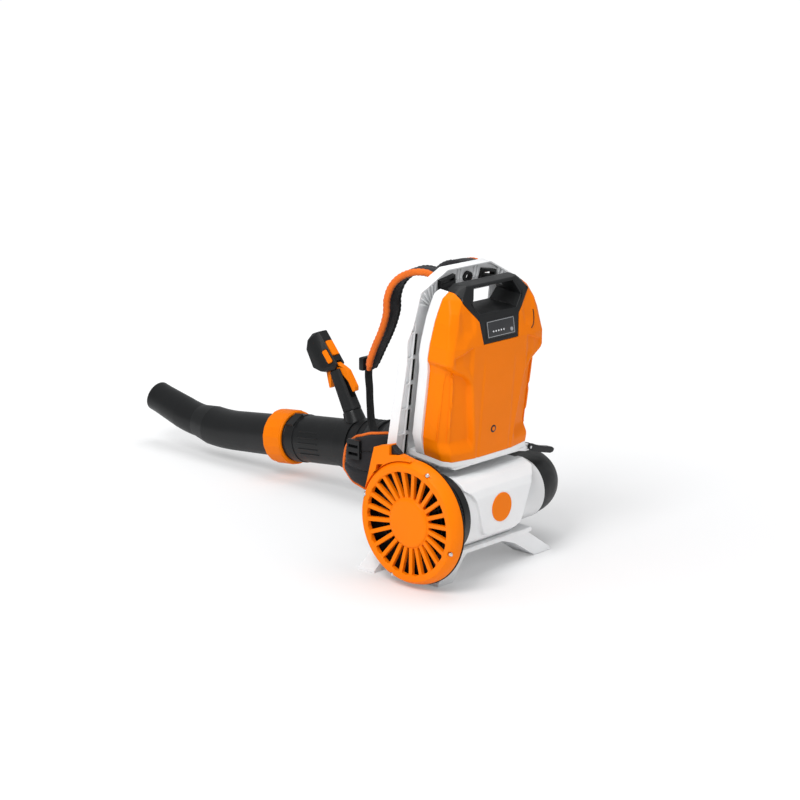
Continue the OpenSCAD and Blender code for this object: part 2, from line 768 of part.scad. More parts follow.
module nozzle_form(wall, over = 0) {
    translate([0, 0, sleeve_from - over]) cylinder(h = sleeve_len + over, r = sleeve_r - wall);
    translate([0, 0, sleeve_from + sleeve_len - 3]) cylinder(h = 14, r1 = sleeve_r - wall,
        r2 = nozzle_r - wall);
    translate([0, 0, sleeve_from + sleeve_len + 9])
        cylinder(h = bend_at - sleeve_from - sleeve_len - 9 + lap, r1 = nozzle_r - wall + step,
            r2 = mid_r - wall + step);
    translate([0, 0, bend_at]) bend(bend_1, mid_r - wall) {
        cylinder(h = cone_len + lap, r1 = mid_r - wall + step, r2 = thin_r - wall + step);
        translate([0, 0, cone_len]) bend(bend_2, thin_r - wall)
            {
                cylinder(h = tip_len - end_len + lap, r1 = thin_r - wall + step, r2 = tip_r - wall + step);
                translate([0, 0, tip_len - end_len]) cylinder(h = end_len + lap + over, r = tip_r - wall);
            }
    }
}
sleeve_from = 150;
sleeve_len = 108;
// Straight stretch at the very end, for an attachment
end_len = 24;

module nozzle() color(black) on_tube() difference() {
    nozzle_form(0);
    nozzle_form(tube_wall, 1);
}

// ---------------------------------------------------------------- control handle

// Handle frame: its +Z runs up the grip, its +Y forward
module on_grip() translate([tube_x, 0, 0])
    translate([0, tube_y + clamp_at * cos(tube_dip), tube_z - clamp_at * sin(tube_dip)])
        rotate([-tube_dip, 0, 0]) translate([0, 0, tube_r])
            rotate([tube_dip - grip_lean, 0, 0]) children();

collar_top = 22;

module handle_clamp() color(black) {
    on_tube(clamp_at - 18) tube(tube_r + slide_gap + 3.5, tube_r + slide_gap, 0, 42);
    difference() {
        on_grip() translate([0, -2, -8]) cylinder(h = collar_top + 8, r1 = 25.5, r2 = 22);
        on_tube(clamp_at - 60) cylinder(h = 120, r = tube_r + slide_gap + 1.6);
    }
}

module handle_grip() color(black) on_grip() difference() {
    hull() {
        translate([0, -4, collar_top + seat]) linear_extrude(1) polygon(pill(17, 22, 14));
        translate([0, 0, grip_len + 4.6]) linear_extrude(1) polygon(pill(15, 18, 12));
    }
    // slots that the trigger and the safety lever fold into
    box([-7.5, 8, grip_len - 30], [7.5, 30, grip_len + 10]);
    box([-7.5, -40, grip_len - 66], [7.5, -4, grip_len + 10]);
}

// Side view of the head: forward and up along the grip
head_side = [
    [4, grip_len + 102], [25, grip_len + 104], [48, grip_len + 76], [46, grip_len + 26],
    [22, grip_len + 8], [-6, grip_len + 6], [-17, grip_len + 16]
];
module head_form() hull() {
    rotate([90, 0, 90]) linear_extrude(26, center = true) polygon(head_side);
    rotate([90, 0, 90]) linear_extrude(58, center = true)
        polygon([[26, grip_len + 92], [32, grip_len + 92], [45, grip_len + 74], [43, grip_len + 29],
            [24, grip_len + 14], [16, grip_len + 18]]);
}

// Rear face of the head: its +Z runs out towards the thumb
module on_face(up) on_grip() translate([0, -17 + up * tan(face_tilt), grip_len + 16 + up])
    rotate([90 - face_tilt, 0, 0]) children();
face_tilt = 13.7;
// Facet on side s of the rear face
module on_facet(up, s = -1) on_face(up) mirror([s > 0 ? 1 : 0, 0, 0])
    translate([-13, 0, 0]) rotate([0, -61, 0]) translate([-10.5, 0, 0]) children();

module button_block(w, h, r, z0, z1) translate([0, 0, z0]) linear_extrude(z1 - z0)
    polygon(pill(w / 2, h / 2, r));

module handle_head() color(black) difference() {
    on_grip() head_form();
    on_face(41) button_block(20 + 2 * slide_gap, 38 + 2 * slide_gap, 3, -5.2, 12);
    on_facet(26) button_block(12 + 2 * slide_gap, 33 + 2 * slide_gap, 3, -5.2, 12);
    on_facet(44, 1) button_block(6 + 2 * seat, 28 + 2 * seat, 2, -1.5, 4);
    // slot of the trigger and of the safety lever, and their pins
    on_grip() box([-7.5, -40, grip_len], [7.5, 36, grip_len + 24]);
    for (p = pins)
        on_grip() translate([-14 - seat, p[0], grip_len + p[1]]) rotate([0, 90, 0])
            cylinder(h = 28 + 2 * seat, r = pin_r + pin_gap);
}

module handle_display() color(dark) on_facet(44, 1) button_block(6, 28, 2, -1.2, 0.6);
module button_left() color(orange) on_facet(26) button_block(12, 33, 3, -2.6, 3);
module button_main() color(orange) on_face(41) button_block(20, 38, 3, -2.6, 3);

module throttle_trigger() color(orange) on_grip() difference() {
    rotate([90, 0, 90]) linear_extrude(13, center = true)
        polygon([[15, grip_len + 20], [27, grip_len + 21], [33, grip_len - 4], [37, grip_len - 26],
            [32, grip_len - 27],
            [24, grip_len - 12], [16, grip_len + 6]]);
    translate([-10, pins[0][0], grip_len + pins[0][1]]) rotate([0, 90, 0])
        cylinder(h = 20, r = pin_r + pin_gap);
}

module lockout_lever() color(orange) on_grip() difference() {
    rotate([90, 0, 90]) linear_extrude(13, center = true)
        polygon([[-3, grip_len + 22], [-13, grip_len + 20], [-29, grip_len + 3], [-36, grip_len - 6],
            [-42, grip_len - 48], [-38, grip_len - 56], [-30, grip_len - 56], [-27, grip_len - 30],
            [-14, grip_len - 4], [-5, grip_len + 9]]);
    translate([-10, pins[1][0], grip_len + pins[1][1]]) rotate([0, 90, 0])
        cylinder(h = 20, r = pin_r + pin_gap);
}
pin_r = 2;
pin_gap = 0.05;
// Forward and up, above the grip's end: pin of the trigger and of the safety lever
pins = [[22, 16], [-8, 17]];

module handle_pins() color(steel) on_grip()
    for (p = pins)
        translate([-14, p[0], grip_len + p[1]]) rotate([0, 90, 0]) cylinder(h = 28, r = pin_r);

// ---------------------------------------------------------------- battery

// Half sections of the battery, from the foot up: level, then half width and
// depth of the rear flat's edge, of the rear corner and of the side's start
battery_levels = [
    [battery_foot, 56, -16, 116, -6, 128, 10],
    [battery_foot + 40, 60, -15, 124, -3, battery_half - 4, 18],
    [battery_foot + 157, 79, -11, 128, -2, battery_half - 5, 18],
    [battery_foot + 178, 90, -10, 131, 0, battery_half - 5, 16],
    [battery_foot + 205, 112, -8, battery_half - 8, -2, battery_half, 6],
    [battery_foot + 235, 108, -6, battery_half - 10, 0, battery_half - 2, 8],
    [battery_foot + 281, 64, 5, battery_half - 27, 9, battery_half - 11, 19],
    [battery_foot + 302, 70, 11, battery_half - 31, 13, battery_half - 18, 26],
    [battery_foot + 325, 80, 18, battery_half - 46, 21, battery_half - 27, 40],
    [battery_foot + 349, 62, 32, 77, 34, 84, 44]
];
function battery_ring(b, front, t) = [
    for (s = [-1, 1], i = [0:3])
        let (k = s < 0 ? i : 3 - i, half = [b[5], b[5], b[3], b[1]][k], y = [front, b[6], b[4], b[2]][k])
        [s * (half - (k < 3 ? t : 0)), k == 0 ? y : y + t, b[0]]
];
module battery_form(front, t = 0) skin([for (b = battery_levels) battery_ring(b, front, t)]);

// Region of the black handle, as an outline in X and the level along the lean
handle_outline = [
    for (p = [[0, 235], [54, 235], [62, 281], [101, 321], [110, 380], [0, 380]]) p + [0, battery_foot]
];
plug_at = [-6, battery_foot + 53];
module handle_region(t) polygon(mirrored([for (p = handle_outline) [p[0] + (p[0] > 0 ? t : 0), p[1] - t]]));

module cell_room() {
    box([-100, 2, battery_foot + 14], [100, cover_front + 14, battery_foot + 216]);
    // room of the terminals
    box([-36 - seat, 40 - seat, battery_foot - 1], [36 + seat, 78 + seat, battery_foot + 12 + seat]);
}

module battery_cover() color(orange) leaned() difference() {
    battery_form(cover_front);
    slab(-60, 120) handle_region(seat);
    cell_room();
    slab(-60, -9) translate(plug_at) circle(r = 8);
}

module battery_shell() color(white) leaned() difference() {
    translate([0, cover_front + seat, 0]) skin([
        for (b = battery_levels) let (w = b[5] + 1.5, d = shell_depth - seat)
            [for (p = [[-w, 0], [-w, d - 8], [-w + 8, d], [w - 8, d], [w, d - 8], [w, 0]]) [p[0], p[1], b[0]]]
    ]);
    slab(-60, 120) handle_region(seat);
    cell_room();
    // grooves that run over the cradle's rails
    for (s = [-1, 1])
        box([s * rail_x - 6 - slide_gap, shell_front - 7 - slide_gap, battery_foot - 1],
            [s * rail_x + 6 + slide_gap, shell_front + 1, battery_foot + 274]);
}

hand_top = battery_foot + 343;
bar_front = 64;
panel_w = 84;
panel_h = 30;

// Face of the gauge panel: its +Z points out of the battery
module panel_place() translate([0, 0, battery_foot + 262]) rotate([panel_tilt + 90, 0, 0])
    translate([0, 0, -panel_face]) children();
panel_tilt = 14;
panel_face = 2;

module battery_handle() color(black) leaned() difference() {
    intersection() {
        battery_form(shell_front - 3, 0.5);
        slab(-60, 120) handle_region(0);
    }
    // hand opening, right through
    slab(-60, 130) polygon(mirrored([
        [0, hand_top], [hand_w / 2 - 16, hand_top], [hand_w / 2, hand_top - 28],
            [hand_w / 2 - 18, hand_top - hand_h],
        [0, hand_top - hand_h]
    ]));
    // finger room behind the bar
    slab(bar_front, 130) translate([-160, hand_top - 20]) square([320, 60]);
    panel_place() linear_extrude(20) square([panel_w + 2 * seat, panel_h + 2 * seat], center = true);
}

module battery_panel() color(dark) leaned() panel_place() difference() {
    translate([0, 0, seat]) linear_extrude(2) square([panel_w, panel_h], center = true);
    translate([32, -6, -1]) cylinder(h = 5, r = 4 + slide_gap);
}

module gauge_button() color(grey) leaned() panel_place()
    translate([32, -6, 1.2]) cylinder(h = 2, r = 4);

module battery_plug() color(steel) leaned()
    slab(-13, -9 - seat) translate(plug_at) difference() {
        circle(r = 8 - seat);
        circle(r = 3, $fn = 6);
    }

module cell_pack() color([0.25, 0.45, 0.6]) leaned() {
    // cells between two end plates
    slab(9, cover_front + 6)
        for (i = [0:7], j = [0:8])
            translate([(i - 3.5) * 22 + (j % 2 == 0 ? 5 : -5), battery_foot + 30 + j * 20.5])
                circle(r = 10.5, $fn = 12);
    for (y = [5, cover_front + 5])
        box([-96, y, battery_foot + 14.5], [96, y + 5, battery_foot + 206]);
}

module battery_terminal() color(black) leaned()
    difference() {
        box([-36, 40, battery_foot], [36, 78, battery_foot + 12]);
        box([-34.6, 41.4, battery_foot - 1], [34.6, 76, battery_foot + 9.8]);
    }

// Lever that holds the battery down, hinged beside the ledge
lever_pin = [136, battery_foot - 21];
lug_y = -27;
lug_t = 8;
lever_w = 17.2;
module battery_lever() color(black) difference() {
    slab(lug_y - lever_w / 2, lug_y + lever_w / 2) translate(lever_pin) difference() {
        polygon([
            [-6, -3], [-7, 4], [-3, 9], [8, 6], [24, -1], [48, -8], [72, -13.5], [78, -17.5], [78, -22],
            [74, -25.5], [66, -26], [28, -16.5], [4, -8]
        ]);
        circle(r = 3 + pin_gap);
    }
    // slot for the cradle's lug
    slab(lug_y - lug_t / 2 - slide_gap, lug_y + lug_t / 2 + slide_gap) translate(lever_pin) circle(r = 13);
}

module lever_pivot() color(steel)
    slab(lug_y - lever_w / 2 - 0.6, lug_y + lever_w / 2 + 0.6) translate(lever_pin) circle(r = 3);

// ---------------------------------------------------------------- harness

module cushion(rings) skin(rings);

module pad_at(cx, cz, half_w, half_h, y0, thick) {
    levels = [[0, 0.93], [0.35, 1], [0.7, 0.95], [0.93, 0.8], [1, 0.6]];
    leaned() translate([cx, y0, cz]) rotate([-90, 0, 0])
        skin([for (l = levels) [for (p = pill(half_w * l[1], half_h * l[1],
            min(half_w, half_h) * 0.35)) [p[0], p[1], l[0] * thick]]]);
}

module back_pads() color(black) both_sides()
    pad_at(62, pad_top - 78, 46, 78, floor_front + seat, 26);
pad_top = view_z - 28;

module lumbar_pad() color(black) pad_at(0, 290, lumbar_half, 50, floor_front + seat, 28);
lumbar_half = plate_half - 86;

strap_route = [
    [-62, 37, 598], [-62, 66, 612], [-65, 100, 611], [-69, 130, 598], [-73, 150, 577], [-78, 157, 551],
        [-83, 155, 521],
    [-88, 163, 487], [-92, 181, 447], [-95, 193, 418], [-96, 198, 399]
];
strap_side = [1, 0.25, 0];
function strap_outline(i, n) =
    let (w = strap_w / 2 * (i < 2 ? 0.62 + 0.15 * i : i > n - 3 ? 0.8 - 0.2 * (i - n + 2) : 1),
        t = strap_t / 2 * (i == 0 || i == n - 1 ? 0.55 : 1))
    pill(w, t, t * 0.9, 2);

module shoulder_strap() strap(strap_route, [for (i = [0:10]) strap_outline(i, 11)], strap_side);
module shoulder_strap_left() color(black) shoulder_strap();
module shoulder_strap_right() color(black) mirror([1, 0, 0]) shoulder_strap();

web_route = [
    [-97, 206, 399], [-98, 205, 380], [-98, 202.5, 354], [-100, 200, 322], [-104, 192, 290], [-109, 174, 263],
    [-114, 146, 246], [-118, 113, 238]
];
module webbing() strap(web_route, [for (i = [0:7]) pill(web_w / 2, web_t / 2, 0.8, 1)], [1, 0.1, 0]);
module strap_webbing_left() color(black) webbing();
module strap_webbing_right() color(black) mirror([1, 0, 0]) webbing();

module strap_adjusters() color(black) both_sides()
    translate([-98, 211, 411]) rotate([-12, 0, 0]) difference() {
        translate([-17, -3.5, -12]) cube([34, 7, 24]);
        translate([-13.5, -5, -8]) cube([27, 10, 5]);
        translate([-13.5, -5, 3]) cube([27, 10, 5]);
    }

anchor_d = 13.6;
module strap_anchors() color(black) leaned() both_sides()
    translate([anchor_x, 107.6, anchor_z]) rotate([0, anchor_turn, 0]) difference() {
        translate([-anchor_w / 2, -anchor_d, -anchor_h / 2]) cube([anchor_w, anchor_d, anchor_h]);
        for (z = [-10, 5])
            translate([-anchor_w / 2 + 5, -anchor_d - 1, z]) cube([anchor_w - 10, anchor_d + 2, 5]);
    }

module carry_loop() color(black) leaned() translate([0, 100, 592])
    difference() {
        slab(-6, 6) difference() {
            circle(r = 11);
            circle(r = 8.6);
        }
    }

wing_route = [
    [-98, 124.4, 212], [-126, 127.4, 211], [-147, 145, 209], [-160, 174, 206], [-166, 206, 202],
        [-167, 230, 201]
];
function wing_outline(i) = let (h = [58, 64, 66, 62, 50, 30][i], t = [6, 8, 9, 9, 8, 5][i]) pill(t, h,
    t * 0.8, 2);
module hip_wing() leaned() skin([
    for (i = [0:5]) let (t = heading(wing_route, i), s = unit(cross(t, [0, 0, 1])))
        placed(wing_outline(i), wing_route[i], s, [0, 0, 1])
]);
module hip_wing_left() color(black) hip_wing();
module hip_wing_right() color(black) mirror([1, 0, 0]) hip_wing();

module hip_buckles() color(black) both_sides()
    translate([-178, 172, 250]) rotate([0, 0, 4]) difference() {
        translate([-4, -16, -20]) cube([8, 32, 40]);
        translate([-6, -12, -12]) cube([12, 24, 6]);
        translate([-6, -12, 4]) cube([12, 24, 6]);
    }

// ---------------------------------------------------------------- assembly

base_stand();
backplate();
battery_cradle();
cradle_terminal();
housing_rear();
housing_front();
housing_badge();
flow_duct();
stator_vanes();
motor_can();
motor_bearings();
tail_cone();
control_board();
intake_duct();
intake_frame();
intake_screen();
intake_cover();
cover_screws();
ear_insert();
outlet_duct();
elbow();
elbow_clamp();
back_pads();
lumbar_pad();
shoulder_strap_left();
shoulder_strap_right();
strap_webbing_left();
strap_webbing_right();
strap_adjusters();
strap_anchors();
carry_loop();
hip_wing_left();
hip_wing_right();
hip_buckles();
fan_rotor();
motor_shaft();
battery_cover();
battery_shell();
battery_handle();
battery_panel();
battery_plug();
cell_pack();
battery_terminal();
gauge_button();
lever_pivot();
battery_lever();
air_hose();
main_tube();
tube_clamp();
coupling_ring();
nozzle();
handle_clamp();
handle_grip();
handle_head();
handle_display();
throttle_trigger();
lockout_lever();
button_left();
button_main();
handle_pins();
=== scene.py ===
"""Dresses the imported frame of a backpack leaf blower: shells with rounded edges,
sculpted battery cover, padded harness, ribbed hose and their finishes."""

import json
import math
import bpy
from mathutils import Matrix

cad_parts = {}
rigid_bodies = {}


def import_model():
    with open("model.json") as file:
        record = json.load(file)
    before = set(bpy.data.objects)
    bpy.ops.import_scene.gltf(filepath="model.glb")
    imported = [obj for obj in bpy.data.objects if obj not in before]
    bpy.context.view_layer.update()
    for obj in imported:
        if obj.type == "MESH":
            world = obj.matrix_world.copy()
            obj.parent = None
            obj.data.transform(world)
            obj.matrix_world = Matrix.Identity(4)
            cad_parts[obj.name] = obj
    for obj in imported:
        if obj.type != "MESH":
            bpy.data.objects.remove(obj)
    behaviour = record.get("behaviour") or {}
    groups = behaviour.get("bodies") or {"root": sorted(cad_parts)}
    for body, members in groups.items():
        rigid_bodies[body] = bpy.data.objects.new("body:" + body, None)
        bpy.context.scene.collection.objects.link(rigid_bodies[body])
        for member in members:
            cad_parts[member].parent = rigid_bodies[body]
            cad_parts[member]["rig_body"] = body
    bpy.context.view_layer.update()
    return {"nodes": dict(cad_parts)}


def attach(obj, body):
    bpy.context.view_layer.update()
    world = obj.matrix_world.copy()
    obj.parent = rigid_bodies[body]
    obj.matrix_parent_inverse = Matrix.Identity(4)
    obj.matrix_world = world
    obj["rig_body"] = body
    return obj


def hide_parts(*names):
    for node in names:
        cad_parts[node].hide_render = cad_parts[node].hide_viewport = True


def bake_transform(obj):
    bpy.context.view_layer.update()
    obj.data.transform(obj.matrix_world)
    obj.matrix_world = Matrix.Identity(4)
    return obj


bl_info = {
    "name": "Backpack leaf blower",
    "version": (1, 0, 0),
    "blender": (4, 5, 0),
    "location": "View3D > Sidebar > Blower",
    "description": "Dresses the frame of a backpack leaf blower and sets the stage",
    "category": "Add Mesh",
}

import bpy
import numpy as np
from bpy.props import FloatVectorProperty, IntProperty, PointerProperty
from mathutils import Matrix, Vector

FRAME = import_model()
NODES = FRAME["nodes"]
MM = 0.001
# the battery leans forward, and the tube dips
LEAN_DEG = 7
DIP_DEG = 5.5
LEAN = math.radians(LEAN_DEG)
DIP = math.radians(DIP_DEG)
# the air's way: hose and tube lie in one upright plane
TUBE_X = 219
FAN_Z = 134.5
HOSE_START = Vector((TUBE_X, 71, FAN_Z))
TUBE_START = Vector((TUBE_X, 510, 119))
TUBE_WAY = Vector((0, math.cos(DIP), -math.sin(DIP)))
# one turn of a sine to four places, and one rib of webbing in m
TURN = 6.2832
WEBBING_RIB = 0.0022


# ---------------------------------- shader maths


class Field:
    """A value or colour that varies over a surface. Sums and products of it become nodes."""

    def __init__(self, finish, socket):
        self.finish, self.socket = finish, socket

    def _math(self, operation, *others):
        return self.finish.add("ShaderNodeMath", {"operation": operation}, *others)

    def __add__(self, other):
        return self._math("ADD", self, other)

    def __sub__(self, other):
        return self._math("SUBTRACT", self, other)

    def __mul__(self, other):
        return self._math("MULTIPLY", self, other)

    def __truediv__(self, other):
        return self._math("DIVIDE", self, other)

    def __gt__(self, other):
        return self._math("GREATER_THAN", self, other)

    def sine(self):
        return self._math("SINE", self)

    def size(self):
        return self._math("ABSOLUTE", self)

    def clip(self):
        return self.finish.add("ShaderNodeClamp", {}, self)


class Finish:
    """One material, built as a Principled surface whose fields are added in turn."""

    made = {}

    def __init__(self, name, colour, roughness, **plain):
        self.material = bpy.data.materials.new(name)
        self.material.use_nodes = True
        self.tree = self.material.node_tree
        self.surface = self.tree.nodes["Principled BSDF"]
        self.colour = tuple(colour) + (1.0,)
        self.surface.inputs["Base Color"].default_value = self.colour
        self.surface.inputs["Roughness"].default_value = roughness
        for socket, value in plain.items():
            self.surface.inputs[socket.replace("_", " ")].default_value = value
        self.place = self.add("ShaderNodeTexCoord", {}, out="Object")
        Finish.made[name] = self

    def add(self, kind, settings, *inputs, out=0, **named):
        node = self.tree.nodes.new(kind)
        for key, value in settings.items():
            setattr(node, key, value)
        pairs = list(enumerate(inputs)) + [(k.replace("_", " "), v) for k, v in named.items()]
        for key, value in pairs:
            if isinstance(value, Field):
                self.tree.links.new(value.socket, node.inputs[key])
            elif value is not None:
                node.inputs[key].default_value = value
        return Field(self, node.outputs[out])

    def feed(self, socket, field):
        self.tree.links.new(field.socket, self.surface.inputs[socket])
        return self

    def scaled(self, x, y, z):
        return self.add("ShaderNodeMapping", {}, self.place, Scale=(x, y, z))

    def noise(self, scale, detail=2.0, rough=0.5, at=None):
        return self.add("ShaderNodeTexNoise", {}, Vector=at or self.place, Scale=scale,
                        Detail=detail, Roughness=rough)

    def cells(self, scale, feature="F1", at=None):
        return self.add("ShaderNodeTexVoronoi", {"feature": feature}, Vector=at or self.place,
                        Scale=scale)

    def axis(self, which, at=None):
        return self.add("ShaderNodeSeparateXYZ", {}, at or self.place, out=which)

    def between(self, mask, low, high):
        """Colour from low to high as the mask goes from 0 to 1."""
        node = self.tree.nodes.new("ShaderNodeMix")
        node.data_type = "RGBA"
        self.tree.links.new(mask.socket, node.inputs[0])
        for index, value in ((6, low), (7, high)):
            if isinstance(value, Field):
                self.tree.links.new(value.socket, node.inputs[index])
            else:
                node.inputs[index].default_value = tuple(value)[:3] + (1.0,)
        return Field(self, node.outputs[2])

    def ramp(self, field, low, high):
        """0 below low, 1 above high, straight between."""
        return self.add("ShaderNodeMapRange", {}, field, low, high, 0.0, 1.0)

    def relief(self, height, depth, strength=1.0):
        bump = self.tree.nodes.new("ShaderNodeBump")
        bump.inputs["Distance"].default_value = depth
        bump.inputs["Strength"].default_value = strength
        self.tree.links.new(height.socket, bump.inputs["Height"])
        self.tree.links.new(bump.outputs[0], self.surface.inputs["Normal"])
        return self

    def shades(self, mask, low, high):
        """Base colour from low to high times the finish's own colour."""
        own = self.colour[:3]
        return self.feed("Base Color", self.between(
            mask, [c * low for c in own], [min(c * high, 1.0) for c in own]))


def moulded(name, colour, roughness, grain=900.0, depth=0.00006, cloud=0.06, **plain):
    """Injection-moulded plastic: fine grain, faint flow clouds and patches of different gloss."""
    f = Finish(name, colour, roughness, **plain)
    cloud_field = f.noise(9.0, 3.0, 0.55)
    f.shades(f.ramp(cloud_field, 0.3, 0.7), 1.0 - cloud, 1.0 + cloud)
    gloss = f.noise(38.0, 4.0, 0.6)
    f.feed("Roughness", (gloss - 0.5) * 0.22 + roughness)
    f.relief(f.noise(grain, 2.0, 0.6) + f.noise(grain * 0.21, 1.0) * 0.5, depth)
    return f


def make_finishes(look):
    """All finishes by name."""
    moulded("orange_shell", look.orange, 0.42, grain=1300, depth=0.00003, cloud=0.03,
            Specular_IOR_Level=0.09)
    moulded("white_shell", look.white, 0.38, grain=1200, depth=0.00003, cloud=0.025)
    # the white plastic darkened: painted shade for the set-back outlet duct
    moulded("grey_shell", [c * 0.82 for c in look.white], 0.38, grain=1200, depth=0.00003,
            cloud=0.025)
    moulded("black_shell", look.black, 0.36, grain=700, depth=0.00007, cloud=0.15,
            Specular_IOR_Level=0.27)
    moulded("dark_inner", (0.009, 0.0095, 0.010), 0.55, grain=500, depth=0.00008, cloud=0.2,
            Specular_IOR_Level=0.25)
    moulded("grey_key", (0.33, 0.34, 0.36), 0.4, grain=900, depth=0.00004)
    moulded("dark_panel", (0.020, 0.021, 0.024), 0.42, grain=300, depth=0.00001)
    moulded("pale_print", (0.36, 0.37, 0.38), 0.5, grain=900, depth=0.00001)
    moulded("pale_lamp", (0.75, 0.76, 0.78), 0.3, grain=900, depth=0.00001)

    f = Finish("soft_grip", (0.008, 0.0085, 0.009), 0.6, Specular_IOR_Level=0.25)
    dots = f.cells(420.0)
    f.shades(f.ramp(dots, 0.05, 0.5), 0.75, 1.25)
    f.relief(f.ramp(dots, 0.1, 0.45) + f.noise(1500, 2) * 0.3, 0.00018)

    f = Finish("hose_rubber", (0.009, 0.0095, 0.010), 0.5, Specular_IOR_Level=0.3)
    f.shades(f.ramp(f.noise(22, 4, 0.6), 0.35, 0.7), 0.8, 1.35)
    f.feed("Roughness", f.noise(60, 3) * 0.25 + 0.4)
    f.relief(f.noise(650, 3, 0.6), 0.0001)

    f = Finish("brushed_steel", (0.60, 0.61, 0.62), 0.3, Metallic=1.0)
    lines = f.noise(500, 3, 0.6, at=f.scaled(1, 1, 14))
    f.shades(f.ramp(lines, 0.3, 0.7), 0.85, 1.1)
    f.feed("Roughness", lines * 0.25 + 0.2)
    f.relief(lines, 0.00002)

    f = Finish("turned_aluminium", (0.66, 0.67, 0.69), 0.34, Metallic=1.0)
    rings = f.noise(700, 2, 0.5, at=f.scaled(9, 1, 1))
    f.shades(f.ramp(rings, 0.3, 0.7), 0.88, 1.08)
    f.relief(rings, 0.00002)

    f = Finish("circuit_board", (0.02, 0.14, 0.06), 0.35)
    tracks = f.cells(260, "DISTANCE_TO_EDGE")
    f.feed("Base Color", f.between(f.ramp(tracks, 0.03, 0.08), (0.30, 0.26, 0.10), f.colour))
    f.relief(f.ramp(tracks, 0.02, 0.1), 0.00005)

    f = Finish("cell_sleeve", (0.06, 0.17, 0.28), 0.4)
    f.shades(f.ramp(f.noise(40, 3), 0.3, 0.7), 0.8, 1.2)
    f.relief(f.noise(300, 2), 0.00005)

    cloth("pad_mesh", (0.012, 0.0115, 0.014), 520, 0.00025)
    cloth("pad_cloth", (0.014, 0.0138, 0.016), 900, 0.0002)
    cloth("orange_binding", (0.72, 0.135, 0.010), 1000, 0.00018)
    webbing_finish("webbing", (0.011, 0.0112, 0.0118))


def cloth(name, colour, threads, depth):
    """Woven cloth: crossing threads, a fuzz of fibres and a soft sheen."""
    f = Finish(name, colour, 0.85, Sheen_Weight=0.12, Sheen_Roughness=0.5, Specular_IOR_Level=0.25)
    warp = (f.axis("Z") * threads * TURN).sine()
    weft = ((f.axis("X") + f.axis("Y") * 0.8) * threads * TURN).sine()
    weave = (warp * weft + 1.0) * 0.5
    fuzz = f.noise(260, 4, 0.65)
    worn = f.ramp(f.noise(17, 3), 0.35, 0.7)
    f.shades((weave * 0.45 + fuzz * 0.35 + worn * 0.3).clip(), 0.62, 1.45)
    f.feed("Roughness", fuzz * 0.2 + 0.72)
    f.relief(weave + fuzz * 0.8, depth)
    return f


def webbing_finish(name, colour):
    """Strap webbing: ribs across the strap and a herringbone, along the strap's own map."""
    f = Finish(name, colour, 0.7, Sheen_Weight=0.08, Sheen_Roughness=0.4, Specular_IOR_Level=0.25)
    f.place = f.add("ShaderNodeTexCoord", {}, out="UV")
    u, v = f.axis("X"), f.axis("Y")
    rib = (v * TURN / WEBBING_RIB).sine()
    edge = ((u - 0.5).size() * 2.0) > 0.86
    slant = ((v / WEBBING_RIB + u * 9.0) * TURN).sine()
    weave = rib * 0.6 + slant * 0.4
    f.shades((weave * 0.25 + 0.5 + f.noise(240, 2) * 0.3 - 0.1 + edge * 0.12).clip(), 0.6, 1.6)
    f.relief(weave, 0.00022)
    return f


def dress(obj, finish):
    """Gives the object this finish alone."""
    obj.data.materials.clear()
    obj.data.materials.append(Finish.made[finish].material)
    return obj


# ---------------------------------- modelling helpers


def only(obj):
    """Selects this object alone and makes it the active one."""
    for other in bpy.context.view_layer.objects:
        other.select_set(False)
    obj.select_set(True)
    bpy.context.view_layer.objects.active = obj


def modify(obj, kind, **settings):
    """Adds a modifier and applies it."""
    modifier = obj.modifiers.new(kind.title(), kind)
    for key, value in settings.items():
        setattr(modifier, key, value)
    only(obj)
    bpy.ops.object.modifier_apply(modifier=modifier.name)
    return obj


def smooth(obj, angle=32):
    only(obj)
    bpy.ops.object.shade_smooth_by_angle(angle=math.radians(angle))
    return obj


def new_mesh(name, points, faces):
    mesh = bpy.data.meshes.new(name)
    mesh.from_pydata([tuple(p) for p in points], [], [tuple(f) for f in faces])
    mesh.update()
    obj = bpy.data.objects.new(name, mesh)
    bpy.context.scene.collection.objects.link(obj)
    return obj


def face_out(obj):
    only(obj)
    bpy.ops.object.mode_set(mode="EDIT")
    bpy.ops.mesh.select_all(action="SELECT")
    bpy.ops.mesh.normals_make_consistent(inside=False)
    bpy.ops.object.mode_set(mode="OBJECT")
    return obj


